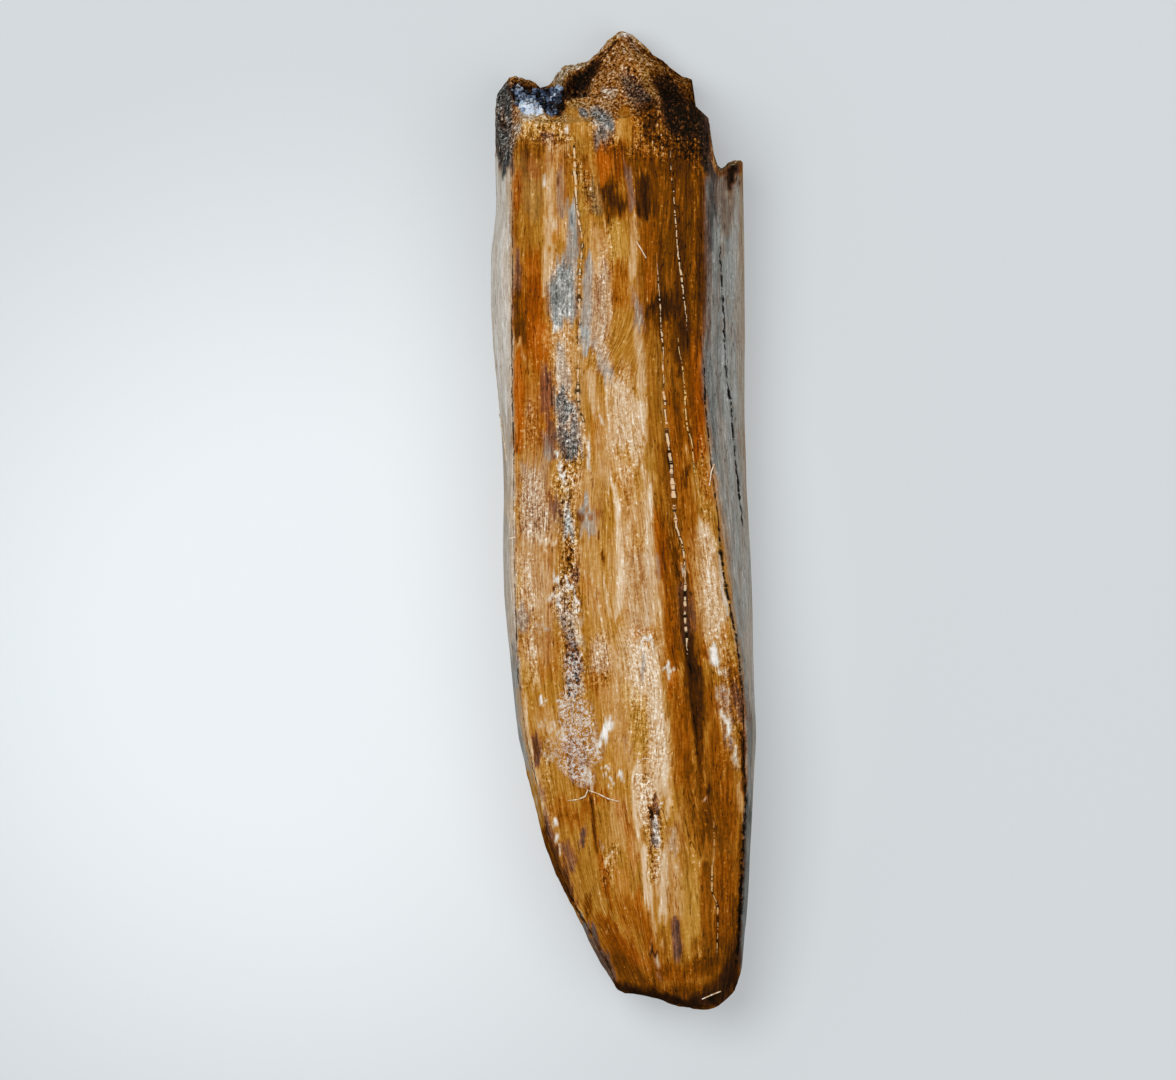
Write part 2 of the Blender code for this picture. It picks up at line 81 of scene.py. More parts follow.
SERRATED_LINE = ((0.0, 0.6), (0.05, 0.53), (0.11, 0.44), (0.18, 0.404), (0.254, 0.374),
                 (0.315, 0.33), (0.386, 0.312), (0.46, 0.306), (0.52, 0.315), (0.57, 0.34),
                 (0.62, 0.332), (0.7, 0.334), (0.8, 0.342), (0.88, 0.34), (1.0, 0.33))
PALE_RIDGE = ((0.0, 0.64), (0.08, 0.605), (0.16, 0.575), (0.223, 0.54), (0.336, 0.56),
              (0.42, 0.495), (0.5, 0.485), (0.57, 0.455), (0.645, 0.44), (0.7, 0.54),
              (0.77, 0.545), (0.86, 0.505), (1.0, 0.49))
LONG_CRACK = ((0.0, 0.85), (0.06, 0.853), (0.139, 0.838), (0.186, 0.826), (0.223, 0.8),
              (0.266, 0.789), (0.336, 0.766), (0.381, 0.734), (0.42, 0.729), (0.484, 0.694),
              (0.55, 0.675), (0.65, 0.646), (0.74, 0.634), (0.85, 0.665), (1.0, 0.67))

# Heights in millimetres: the crest of the front face, the widest level and the underside
CREST_HEIGHT = ((0.0, 3.35), (0.04, 3.85), (0.12, 4.45), (0.3, 5.05), (0.55, 5.33),
                (0.8, DEPTH), (1.0, 5.32))
WIDEST_HEIGHT = ((0.0, 2.15), (0.1, 2.1), (0.3, 2.2), (0.6, 2.3), (1.0, 2.35))
UNDERSIDE_HEIGHT = ((0.0, 1.0), (0.08, 0.42), (0.18, -0.02), (0.5, -0.38), (0.8, -0.14),
                    (0.92, 0.08), (1.0, 0.22))
LEFT_SHOULDER_DROP = ((0.0, 0.5), (0.15, 0.55), (0.4, 0.55), (0.7, 0.42), (1.0, 0.45))
RIGHT_SHOULDER_DROP = ((0.0, 0.5), (0.2, 0.6), (0.45, 0.62), (0.7, 0.55), (1.0, 0.6))

# How round each side is: powers of the curves from ridge to shoulder, and down to the underside
LEFT_ROOF_POWER = 1.6
RIGHT_ROOF_POWER = 1.7
LEFT_FLANK_POWER = 1.05
RIGHT_FLANK_POWER = 1.45
UNDERSIDE_POWER = 0.9

# The broken base: how far along its front lip and its rear rim stand, over the way across
BREAK_FRONT = ((0.0, 0.865), (0.06, 0.862), (0.1, 0.885), (0.12, 0.905), (0.2, 0.905),
               (0.3, 0.904), (0.41, 0.904), (0.5, 0.908), (0.6, 0.918), (0.7, 0.925),
               (0.76, 0.922), (0.8, 0.912), (0.822, 0.906), (0.829, 0.879), (0.838, 0.865),
               (0.857, 0.855), (0.924, 0.8655), (1.0, 0.865))
BREAK_REAR = ((0.0, 0.925), (0.023, 0.94), (0.055, 0.946), (0.07, 0.952), (0.15, 0.952),
              (0.18, 0.944), (0.22, 0.943), (0.245, 0.957), (0.28, 0.963), (0.362, 0.967),
              (0.404, 0.976), (0.483, 0.999), (0.502, 1.0), (0.53, 0.996), (0.562, 0.987),
              (0.638, 0.97), (0.713, 0.955), (0.757, 0.948), (0.7595, 0.9265), (0.824, 0.9105),
              (0.829, 0.882), (0.838, 0.8675), (0.857, 0.857), (0.924, 0.8665), (1.0, 0.8665))
BREAK_GRAIN = 0.11
BREAK_GRAIN_SIZES = (0.55, 0.27, 0.13)
BREAK_GRAIN_SHARES = (1.0, 0.5, 0.35)
BREAK_PLACE = 0.9
FRONT_LIP_DROP = 0.2
REAR_RIM_HEIGHT = 1.9

# Steps of the break's rim: their places and width as shares of the width, and how sharply they stand
RIM_STEPS = (0.07, 0.245, 0.758, 0.8265)
RIM_STEP_WIDTH = 0.008
RIM_STEP_REACH = 0.08
RIM_STEP_EDGE = 0.2

# Pits in the break: place across, height, half width, half height and depth in millimetres
PULP_HOLLOW = (0.19, 2.3, 0.78, 1.5, 2.2)
PULP_CLEFT = (0.34, 2.7, 0.4, 1.0, 1.1)
MIDDLE_POCKET = (0.53, 3.3, 0.45, 0.6, 0.45)
RIGHT_POCKET = (0.71, 3.4, 0.6, 0.75, 0.5)
PITS = (PULP_HOLLOW, PULP_CLEFT, MIDDLE_POCKET, RIGHT_POCKET)
# A pit deepens between these shares of its half width; it is smooth, and painted dark as shade, where it is
# this deep
PIT_SLOPE = (0.1, 1.05)
SMOOTH_PIT_DEPTHS = (0.2, 0.8)
SHADED_PIT_DEPTHS = (0.25, 0.8)

# The worn tip: how far along its end stands, over the way across
WORN_TIP = ((0.46, 0.022), (0.494, 0.0163), (0.556, 0.0135), (0.62, 0.0098), (0.683, 0.0042),
            (0.77, 0.0), (0.83, 0.0), (0.875, 0.006), (0.91, 0.015), (0.935, 0.025))
TIP_MIDDLE = (0.7, 2.3)
TIP_EDGE_ROUNDING = 0.4
TIP_EDGE_POWER = 3
TIP_GRAIN = 0.03
TIP_GRAIN_SIZE = 0.7
TIP_PLACE = 0.02

# The serrated ridge down the front, its beads, and the second ridge behind
BEAD_PITCH = 0.49
BEAD_HEIGHT = 0.12
BEAD_HALF_WIDTH = 0.09
BEAD_RANGE = (0.55, 0.885)
BEAD_START = 0.5 * BEAD_PITCH
BEADS_FADE_IN = 0.07
BEADS_FADE_OUT = 0.015
HEIGHT_BETWEEN_BEADS = 0.25
REAR_RIDGE_HEIGHT = 0.16
REAR_RIDGE_PLACE = 0.32
REAR_RIDGE_HALF_WIDTH = 0.035
REAR_RIDGE_START = (0.05, 0.2)

# Grooves and the crust on the front face
CRACK_DEPTH = 0.13
CRACK_HALF_WIDTH = 0.11
CRACK_RANGE = (0.17, 0.745)
CRACK_FADE_IN = 0.1
CRACK_FADE_OUT = 0.05
CRUST_HEIGHT = 0.13
CRUST_HALF_WIDTH = 0.42
CRUST_RANGE = (0.2, 0.545)
CRUST_FADE = 0.05
CRUST_LUMP_SIZE = 0.5
CRUST_SHARE_BELOW_LUMPS = 0.35

# Low waves of the worn surface: their height, their size, and how they are stretched
FACE_WAVES = 0.05
FACE_WAVE_SIZE = 1.6
FACE_WAVES_ACROSS = 2.2
FACE_WAVES_ALONG = 0.5
FLANK_WAVE_SIZE = 1.3
FLANK_WAVES_ALONG = 0.6
FLANK_WAVES_UPWARDS = 2.0

# The eight stretches round the tooth: left flank, four of the face, right flank, two of the underside.
# For each, how finely it is divided and about how many millimetres wide it is.
FACE_FROM, RIGHT_FLANK_FROM, UNDERSIDE_FROM, LEFT_UNDERSIDE = 1, 5, 6, 7
COLUMNS = (10, 32, 32, 30, 24, 14, 44, 24)
STRETCH_WIDTHS = (0.9, 1.75, 1.45, 1.1, 0.9, 1.4, 3.0, 3.0)
COLUMN_CROWDING = 0.3
COLUMNS_BESIDE_RIM_STEP = (-0.5, -0.17, 0.17, 0.5)
TIP_ROWS = 16
MIDDLE_ROWS = 344
BASE_ROWS = 22
TIP_ROW_CROWDING = 1.3
FIXED_ROWS_FROM = 0.075
FIXED_ROWS_TO = 0.84
TIP_FIRST_GUESS = 0.01
BASE_FIRST_GUESS = 0.93
MEETING_STEPS = 14
BREAK_RINGS = 30
PULP_RINGS = 12
TIP_RINGS = 12
SHARP_ANGLE = 50

# Which part of the surface a vertex belongs to
TIP_END, WALL, BREAK_END = -1.0, 0.0, 1.0

# What each stain, painted reflection or painted shade does: how light it is, how grey, and how yellow (or
# red, below 0)
STAINS_AND_PAINTED_LIGHT = {
    "black": (0.02, 0.15, 0.0),
    "soot": (0.21, 0.9, 0.0),
    "char": (0.11, 0.0, 0.0),
    "umber": (0.22, 0.0, 0.0),
    "brown": (0.32, 0.0, 0.1),
    "maroon": (0.27, 0.45, -0.6),
    "rust": (0.34, 0.0, -0.9),
    "amber": (0.41, 0.0, -0.1),
    "orange": (0.43, 0.0, -0.8),
    "glow": (0.53, 0.0, -0.4),
    "honey": (0.47, 0.0, 0.5),
    "gold": (0.56, 0.0, 0.8),
    "olive": (0.36, 0.25, 0.9),
    "putty": (0.52, 0.0, 0.4),
    "tan": (0.60, 0.1, 0.1),
    "pink": (0.58, 0.4, -0.3),
    "pale": (0.68, 0.2, 0.2),
    "cream": (0.77, 0.2, 0.2),
    "white": (0.90, 0.8, 0.0),
    "slate": (0.39, 1.0, 0.0),
    "ash": (0.58, 1.0, 0.0),
    "lilac": (0.50, 0.85, -0.4),
    "pearl": (0.70, 0.6, 0.0),
    "moss": (0.50, 0.45, 0.8),
}

# The strokes that paint the tooth, part by part, in order: stains, and in places painted reflection and
# painted shade. Each row is one of these, how strong it is, and one path for each stroke: the points (photo
# x, photo y, half width) that it follows, in pixels.
STROKES = (
    # Left flank: its pale grey is painted reflection of the pale floor on the steep side
    ("ash", 0.9,
     ((500, 180, 12), (502, 420, 11), (506, 560, 9), (509, 650, 8), (518, 730, 7), (527, 770, 5))),
    ("pearl", 1.0, ((500, 180, 12), (499, 330, 13), (503, 400, 11), (506, 430, 8))),
    ("ash", 0.8, ((508, 445, 6), (509, 500, 5)), ((513, 690, 5), (518, 725, 6), (526, 755, 4))),
    ("pearl", 0.7, ((508, 520, 5), (508, 580, 6), (510, 640, 4))),
    ("pink", 0.6, ((507, 175, 3), (507, 210, 3))),
    # Right flank: its greys are mostly painted reflection of the pale floor on the steep side, over its own
    # stains
    ("ash", 1.0, ((724, 200, 18), (726, 300, 20), (727, 400, 20), (732, 500, 16)),
     ((736, 520, 14), (744, 600, 12), (749, 660, 9), (751, 700, 8))),
    ("lilac", 0.9,
     ((713, 190, 7), (713, 250, 7), (711, 320, 6), (716, 400, 6), (722, 460, 5), (728, 520, 5))),
    ("soot", 0.8, ((712, 164, 5), (712, 200, 4), (709, 240, 3))),
    ("slate", 0.8,
     ((709, 180, 4), (707, 250, 3), (705, 330, 3), (706, 380, 4), (711, 420, 3), (716, 470, 2))),
    ("moss", 0.5, ((741, 200, 3), (741, 320, 3), (742, 420, 3), (746, 500, 3), (749, 560, 2))),
    ("maroon", 0.7, ((725, 175, 6), (737, 177, 5))),
    ("black", 1.0, ((732, 186, 5), (734, 202, 5))),
    ("white", 0.6, ((728, 204, 2.5), (731, 207, 2.5))),
    ("olive", 0.9, ((720, 170, 4), (733, 165, 4), (741, 166, 4))),
    ("ash", 0.9, ((752, 640, 8), (753, 740, 7), (752, 800, 6))),
    ("lilac", 0.9, ((749, 715, 5), (750, 755, 4))),
    ("slate", 1.0, ((749, 800, 4), (749, 860, 5), (746, 910, 5), (742, 960, 5))),
    ("pearl", 0.5, ((752, 690, 1.5), (754, 730, 1.5), (752, 800, 1.2), (751, 860, 1.2))),
    # Spur
    ("orange", 0.8, ((624, 40, 8), (617, 66, 22), (612, 92, 26))),
    ("brown", 0.9, ((645, 62, 12), (665, 78, 16), (680, 92, 12))),
    ("tan", 0.5, ((622, 48, 6), (628, 62, 7), (615, 75, 6))),
    ("tan", 0.7, ((600, 104, 7), (608, 107, 6))),
    ("maroon", 0.6, ((628, 38, 3), (638, 50, 3))),
    ("gold", 0.5, ((645, 76, 5), (652, 66, 3))),
    ("char", 0.9, ((652, 68, 3), (654, 80, 3))),
    ("pearl", 0.9, ((605, 91, 4), (611, 94, 6))),
    ("slate", 0.9, ((628, 80, 5), (634, 92, 9), (641, 102, 9)),
     ((596, 113, 6), (603, 119, 8), (609, 126, 6))),
    ("soot", 0.8, ((629, 84, 5), (640, 98, 7), (650, 104, 4))),
    ("char", 0.9, ((652, 108, 8), (652, 118, 8), (648, 138, 5))),
    ("black", 1.0, ((666, 86, 8), (672, 104, 14), (676, 124, 13))),
    ("char", 1.0, ((688, 108, 10), (696, 130, 12), (692, 145, 11), (700, 160, 9))),
    ("brown", 0.7, ((660, 100, 4), (661, 125, 5))),
    ("tan", 0.8, ((656, 93, 2), (658, 103, 1.6), (658, 112, 2))),
    ("soot", 0.9, ((703, 118, 6), (706, 140, 6), (707, 165, 5))),
    # Painted shade: the black band down the spur's left side, where it drops into the hollow
    ("black", 0.9, ((616, 40, 1.4), (602, 56, 2), (591, 70, 4), (583, 83, 8), (568, 96, 6))),
    ("char", 0.8, ((640, 46, 1.6), (663, 63, 1.8), (691, 80, 2), (692, 104, 2))),
    ("white", 0.9, ((623, 33, 2.5), (627, 34, 2))),
    ("cream", 0.8, ((592, 125, 2), (597, 123, 2), (603, 125, 1.5))),
    ("slate", 0.9, ((600, 134, 6), (602, 143, 7))),
    ("putty", 1.0, ((624, 112, 5), (625, 126, 8), (623, 140, 8))),
    ("rust", 0.6, ((634, 112, 2), (635, 135, 3))),
    ("tan", 0.8, ((642, 118, 1.6), (646, 124, 1.6))),
    ("cream", 0.7, ((650, 128, 1.6), (652, 133, 1.6), (658, 126, 1.3))),
    ("umber", 0.9, ((660, 142, 8), (672, 150, 10))),
    ("char", 0.7, ((645, 112, 9), (650, 128, 8))),
    # Pulp hollow: its black strokes are painted shade in the deep hollow
    ("soot", 1.0, ((506, 90, 10), (503, 125, 10), (503, 152, 10), (508, 170, 6))),
    ("brown", 0.9, ((512, 80, 5), (528, 79, 5), (534, 84, 3))),
    ("rust", 0.6, ((514, 105, 2.5), (516, 122, 2.5))),
    ("black", 1.0, ((516, 89, 6), (530, 92, 7), (546, 92, 7), (558, 94, 7)),
     ((572, 86, 9), (584, 76, 8), (594, 66, 6)), ((546, 104, 7), (556, 112, 7), (560, 104, 6)),
     ((522, 98, 9), (535, 104, 9), (550, 104, 9))),
    ("moss", 0.9, ((556, 78, 5), (564, 70, 4), (583, 65, 3))),
    ("brown", 0.6, ((572, 72, 3), (582, 70, 2))),
    ("white", 0.9, ((518, 88, 1.6), (521, 92, 1.6))),
    ("slate", 0.9, ((520, 92, 4), (526, 98, 5), (518, 103, 3))),
    ("pearl", 0.8, ((527, 103, 4), (536, 107, 5), (532, 114, 5), (540, 114, 3))),
    ("black", 0.9, ((536, 98, 2.4), (544, 102, 2.4))),
    ("white", 1.0, ((529, 101, 2), (533, 100, 2.4)), ((524, 107, 2.4), (530, 109, 2.6))),
    ("white", 0.9, ((538, 106, 1.6), (541, 111, 2.2))),
    ("pearl", 0.9, ((521, 114, 2.2), (528, 116, 2.4), (535, 113, 1.6))),
    ("pearl", 0.8, ((550, 98, 1.6), (556, 92, 1.4), (561, 89, 1.4))),
    ("cream", 0.8, ((540, 118, 5), (524, 124, 4))),
    ("honey", 1.0, ((525, 131, 6), (540, 124, 6), (560, 122, 5))),
    ("gold", 0.7, ((530, 126, 4), (545, 121, 3))),
    ("putty", 1.0, ((571, 116, 6), (578, 128, 9), (584, 138, 7))),
    ("slate", 0.9, ((582, 112, 4), (586, 116, 3))),
    ("pearl", 0.9, ((517, 128, 3), (519, 132, 3))),
    ("maroon", 1.0, ((545, 136, 3.5), (550, 138, 3.5))),
    ("white", 0.8, ((567, 131, 1.6), (567, 134, 1.6))),
    ("black", 0.8, ((504, 118, 3), (504, 126, 3))),
    ("white", 0.7, ((504, 119, 2), (507, 121, 2))),
    # Below the break
    ("honey", 0.9, ((525, 150, 12), (530, 165, 13)), ((586, 145, 6), (588, 160, 6))),
    ("umber", 0.8, ((528, 139, 1.3), (528, 153, 1.2)), ((540, 141, 1.2), (540, 154, 1))),
    ("amber", 0.8, ((556, 143, 4), (560, 165, 6))),
    ("char", 0.8, ((562, 140, 1.5), (563, 146, 1.5))),
    ("pearl", 0.8, ((549, 143, 3), (549, 170, 3))),
    ("pale", 0.7, ((567, 140, 2), (568, 160, 2))),
    ("orange", 0.9, ((605, 152, 9), (604, 166, 9))),
    ("rust", 0.8, ((620, 150, 6), (622, 168, 6))),
    ("rust", 0.7, ((640, 148, 8), (650, 165, 8))),
    ("umber", 0.8, ((675, 160, 12), (692, 160, 10))),
    # Upper left strip
    ("honey", 0.9, ((527, 170, 15), (528, 215, 15), (528, 250, 15))),
    ("rust", 0.8, ((518, 175, 4), (518, 208, 4))),
    ("brown", 0.8, ((516, 205, 1.4), (516, 245, 1.2))),
    ("orange", 0.6, ((530, 160, 6), (536, 178, 5))),
    ("gold", 0.5, ((535, 195, 6), (536, 240, 6))),
    ("orange", 0.9, ((533, 262, 9), (534, 290, 9))),
    ("maroon", 0.9, ((518, 258, 3.5), (518, 288, 4))),
    ("umber", 0.8, ((517, 292, 4), (521, 325, 8))),
    ("rust", 0.9, ((534, 296, 11), (534, 328, 10))),
    ("glow", 0.8, ((525, 282, 1), (527, 287, 1), (524, 289, 1), (528, 293, 1))),
    ("orange", 0.9, ((542, 330, 9), (543, 352, 9), (541, 362, 6))),
    ("glow", 0.6, ((545, 336, 4), (545, 354, 4))),
    ("umber", 0.9, ((519, 330, 7), (521, 342, 5))),
    ("rust", 0.8, ((531, 335, 4), (532, 352, 4))),
    ("cream", 1.0, ((519, 345, 1.5), (520, 351, 1.8), (526, 359, 1.5))),
    ("gold", 0.9, ((522, 363, 1.5), (529, 362, 1.8), (530, 376, 3), (526, 384, 1.5))),
    ("orange", 1.0, ((518, 360, 4), (519, 400, 5), (519, 440, 5), (518, 455, 3))),
    ("tan", 0.6, ((531, 385, 5), (532, 420, 7), (530, 448, 7))),
    ("pink", 0.7, ((529, 405, 3), (530, 410, 3))),
    # Pale streaks
    ("tan", 0.9, ((555, 150, 9), (556, 190, 10), (556, 230, 11))),
    ("white", 0.9, ((543.5, 172, 1.2), (543.5, 186, 1.5))),
    ("pale", 0.9, ((549, 165, 2.5), (550, 200, 3), (551, 235, 3))),
    ("cream", 0.8, ((554, 195, 1.2), (554, 232, 1.2)), ((546, 215, 1.6), (545, 250, 1.6), (544, 290, 1.6))),
    ("ash", 0.6, ((559, 165, 2.5), (560, 200, 2.5), (562, 215, 3))),
    ("char", 0.6, ((560, 160, 1), (558, 186, 1))),
    ("glow", 0.9, ((561, 231, 3), (558, 238, 6), (554, 244, 4))),
    ("pale", 0.9, ((551, 252, 5), (550, 272, 6), (548, 285, 4))),
    ("gold", 0.9, ((571, 192, 3), (572, 197, 3))),
    ("ash", 1.0, ((571, 203, 4), (573, 230, 5), (572, 255, 7)),
     ((565, 268, 10), (562, 290, 13), (563, 312, 13))),
    ("soot", 0.5, ((569, 208, 1.5), (571, 225, 1.5))),
    ("slate", 0.5, ((553, 282, 3), (556, 305, 4))),
    ("white", 1.0, ((557, 317, 2.5), (558, 324, 3.5))),
    ("white", 0.8, ((565, 302, 2), (568, 299, 1.5))),
    ("gold", 0.8, ((580, 204, 3.5), (581, 214, 3.5))),
    ("umber", 0.7, ((585, 165, 4), (588, 185, 4))),
    ("olive", 0.7, ((592, 190, 4), (593, 215, 4))),
    ("olive", 0.8, ((596, 195, 6), (600, 212, 5))),
    ("umber", 0.7, ((588, 200, 1.3), (592, 222, 1.3))),
    ("putty", 0.8, ((590, 228, 6), (591, 248, 6))),
    ("ash", 0.8, ((588, 258, 4), (588, 300, 5), (586, 330, 6))),
    ("tan", 0.9, ((599, 235, 8), (601, 265, 9))),
    ("pink", 0.8, ((603, 275, 9), (601, 305, 10), (600, 330, 10))),
    ("pale", 0.6, ((608, 280, 1.4), (610, 320, 1.4))),
    # Upper dark patches
    ("orange", 0.9, ((604, 160, 9), (605, 178, 9))),
    ("umber", 0.7, ((612, 178, 5), (613, 186, 6))),
    ("rust", 0.7, ((618, 158, 5), (619, 176, 5))),
    ("char", 1.0, ((606, 192, 6), (612, 202, 9), (619, 208, 8))),
    ("char", 0.8, ((608, 214, 4), (610, 224, 3))),
    ("brown", 0.8, ((610, 214, 5), (620, 217, 5))),
    ("lilac", 0.9, ((624, 158, 1.5), (629, 176, 2.2), (631, 196, 2.4), (632, 212, 2.4))),
    ("char", 1.0, ((641, 176, 3), (644, 190, 7), (643, 206, 8))),
    ("rust", 0.7, ((652, 188, 4), (656, 208, 5))),
    ("rust", 0.6, ((655, 170, 5), (657, 184, 5))),
    ("pale", 0.8, ((634, 222, 4), (633, 255, 4), (633, 275, 4))),
    ("pink", 0.9, ((634, 288, 4), (635, 302, 4))),
    ("lilac", 0.9, ((638, 305, 4), (640, 325, 5))),
    ("white", 0.8, ((640, 314, 1.6), (639, 320, 1.6))),
    ("gold", 0.9, ((616, 226, 6), (618, 245, 9), (618, 258, 7))),
    ("amber", 0.9, ((619, 268, 8), (620, 300, 9)), ((650, 222, 8), (650, 255, 8))),
    ("honey", 0.8, ((622, 318, 8), (623, 345, 9), (622, 362, 8))),
    ("orange", 0.9, ((649, 268, 6), (650, 294, 5))),
    ("umber", 0.9, ((661, 240, 3), (660, 290, 4))),
    ("char", 0.9, ((652, 306, 6), (664, 303, 8), (674, 306, 6))),
    ("umber", 0.8, ((655, 318, 8), (668, 318, 8))),
    ("cream", 0.8, ((636, 243, 0.8), (646, 258, 0.8))),
    # Upper right
    ("brown", 1.0, ((680, 170, 18), (687, 230, 17), (688, 290, 16), (690, 330, 12))),
    ("umber", 0.6, ((680, 235, 3), (683, 275, 5), (682, 300, 4))),
    ("honey", 0.5, ((686, 200, 3), (689, 240, 3), (692, 300, 3))),
    ("umber", 0.8, ((701, 180, 3), (701, 250, 3), (700, 310, 4))),
    ("char", 0.9, ((683, 322, 6), (684, 340, 5), (680, 348, 5))),
    ("umber", 0.9, ((675, 345, 3), (682, 360, 4), (678, 375, 3.5))),
    # Middle left
    ("maroon", 0.9, ((547, 372, 5), (547, 392, 6), (546, 415, 5))),
    ("maroon", 0.8, ((549, 425, 3), (551, 445, 4), (555, 456, 3))),
    ("tan", 0.8, ((562, 330, 10), (563, 355, 10), (563, 385, 10))),
    ("ash", 0.5, ((560, 345, 4), (563, 370, 6), (565, 390, 7))),
    ("slate", 0.9, ((558, 400, 6), (567, 412, 9), (571, 432, 10), (573, 450, 9))),
    ("soot", 0.5, ((556, 425, 4), (562, 440, 5), (570, 456, 5))),
    ("tan", 0.6, ((570, 420, 3), (566, 428, 3))),
    ("lilac", 0.8, ((545, 440, 4), (549, 462, 4))),
    ("white", 1.0, ((556, 449, 1.3), (560, 460, 1.7), (562, 473, 1.6), (567, 488, 1.4))),
    ("char", 0.8, ((564, 463, 1.2), (566, 476, 1.2))),
    ("cream", 0.9, ((586, 432, 2), (587, 444, 2))),
    ("white", 0.7, ((588, 449, 2), (588.5, 462, 1.8), (590, 474, 1.2))),
    ("black", 0.9, ((591, 478, 1.2), (592, 480, 1.2))),
    ("ash", 0.8, ((585, 330, 6), (586, 345, 5))),
    ("pink", 0.8, ((596, 335, 7), (600, 350, 7), (606, 362, 6))),
    ("lilac", 0.9, ((592, 342, 3), (598, 354, 3.5), (604, 368, 4), (612, 379, 5))),
    ("pale", 0.8, ((590, 372, 5), (592, 398, 5), (594, 412, 4))),
    ("putty", 0.9, ((598, 420, 6), (599, 445, 8), (600, 470, 8))),
    ("orange", 0.4, ((596, 425, 5), (598, 450, 5))),
    ("white", 0.9, ((600, 426, 2.3), (602, 427, 2.3))),
    ("tan", 0.7, ((580, 480, 9), (582, 495, 8))),
    ("pink", 0.9, ((524, 468, 5), (526, 480, 5))),
    ("pink", 0.7, ((540, 470, 8), (536, 490, 10))),
    ("glow", 0.6, ((516, 462, 1.5), (516, 500, 1.8), (517, 525, 2.2))),
    ("gold", 0.8, ((517, 505, 2), (517, 525, 2.4))),
    # Middle pale band: partly its own pale colour, partly painted sheen along the crest
    ("tan", 0.6, ((625, 372, 10), (620, 385, 8))),
    ("pale", 0.8, ((638, 332, 4), (641, 360, 5), (642, 385, 5))),
    ("pale", 1.0, ((618, 385, 9), (626, 405, 15), (629, 430, 17), (626, 446, 17))),
    ("cream", 0.8, ((606, 380, 2.3), (608, 410, 2.3), (610, 445, 2.6))),
    ("cream", 0.7, ((643, 395, 4), (643, 440, 4))),
    ("putty", 1.0, ((622, 458, 10), (630, 492, 10))),
    ("tan", 0.8, ((614, 455, 4), (630, 485, 8))),
    ("brown", 0.6, ((628, 447.5, 0.8), (640, 448, 0.8), (648, 446, 0.8))),
    ("cream", 0.9, ((610, 476, 2), (614, 492, 3), (619, 512, 4)), ((652, 485, 3), (650, 510, 4)),
     ((644, 450, 0.9), (642, 466, 0.9), (644, 480, 1), (647, 490, 1)),
     ((652, 453, 1), (653.5, 472, 1), (651, 486, 1.2))),
    ("gold", 0.8, ((650, 456, 2.5), (651, 462, 2.5))),
    ("glow", 0.5, ((619, 482, 3), (622, 490, 3))),
    # Middle right
    ("honey", 0.9, ((655, 335, 7), (656, 400, 7), (657, 450, 7), (660, 500, 7))),
    ("amber", 0.9, ((671, 395, 7), (676, 440, 8), (682, 480, 9), (688, 510, 9))),
    ("rust", 0.5, ((676, 400, 3), (680, 445, 4))),
    ("rust", 0.9, ((694, 335, 6), (696, 400, 8), (698, 450, 9))),
    ("amber", 0.8, ((705, 470, 8), (710, 500, 8))),
    ("umber", 0.9, ((685, 471, 3.5), (686, 482, 3))),
    ("honey", 0.7, ((697, 500, 5), (706, 512, 8))),
    ("char", 0.8, ((668, 450, 2.5), (671, 468, 2.5), (674, 500, 2))),
    # Crust column
    ("pink", 0.8, ((530, 500, 12), (538, 515, 14), (534, 530, 13))),
    ("umber", 0.6, ((550, 496, 4), (556, 510, 5))),
    ("maroon", 0.8, ((554, 502, 4), (557, 512, 4))),
    ("moss", 0.5, ((565, 500, 6), (560, 522, 6))),
    ("white", 0.8, ((566, 508, 2.5), (568, 520, 4), (569, 532, 3))),
    ("ash", 0.8, ((568, 512, 5), (569, 530, 5))),
    ("char", 0.6, ((569, 543, 5), (569, 560, 5), (571, 572, 4))),
    ("maroon", 0.7, ((575, 568, 4), (577, 580, 3))),
    ("lilac", 1.0, ((584, 505, 6), (589, 515, 8), (588, 532, 7))),
    ("umber", 0.7, ((579, 510, 2.5), (583, 522, 2.5), (598, 505, 3), (600, 520, 2))),
    ("char", 0.8, ((598, 535, 1.8), (599, 539, 1.5))),
    ("char", 0.9, ((602.5, 557, 1.2), (603, 566, 1.2))),
    ("cream", 1.0, ((538, 537, 2.5), (545, 543, 3.5), (556, 541, 2.6))),
    ("glow", 0.9, ((545, 551, 3), (550, 558, 5))),
    ("brown", 0.7, ((543, 549, 1), (552, 547, 1), (558, 549, 1), (560, 558, 1))),
    ("tan", 0.9, ((527, 550, 10), (530, 575, 13), (530, 598, 12))),
    ("gold", 0.6, ((518, 575, 2.5), (519, 600, 3))),
    ("cream", 0.5, ((524, 560, 3), (534, 590, 4), (530, 602, 3))),
    ("tan", 0.7, ((546, 572, 7), (546, 592, 6))),
    ("white", 1.0, ((556, 582, 2.5), (559, 584, 3)), ((566, 581, 2), (572, 586, 3), (577, 596, 2.5)),
     ((554, 595, 2.5), (550, 600, 2.5))),
    ("white", 0.9, ((559, 600, 2.5), (559, 606, 3)), ((576, 606, 3), (580, 607, 2))),
    ("char", 0.9, ((562, 577, 1), (570, 580, 0.9), (579, 592, 0.9), (581, 600, 0.9)),
     ((561, 586, 0.9), (556, 591, 1), (550, 604, 0.9))),
    ("umber", 0.9, ((563, 592, 1.2), (564, 604, 1.2), (570, 595, 1))),
    ("lilac", 0.7, ((523, 610, 7), (520, 622, 6))),
    ("amber", 0.8, ((548, 612, 6), (548, 622, 5))),
    ("moss", 0.8, ((562, 612, 6), (568, 626, 8), (578, 640, 7))),
    ("pearl", 0.6, ((565, 610, 3), (580, 618, 3))),
    ("cream", 0.8, ((561, 618, 0.9), (572, 624, 1), (583, 634, 1)), ((572, 636, 1), (584, 643, 1))),
    # Lower left
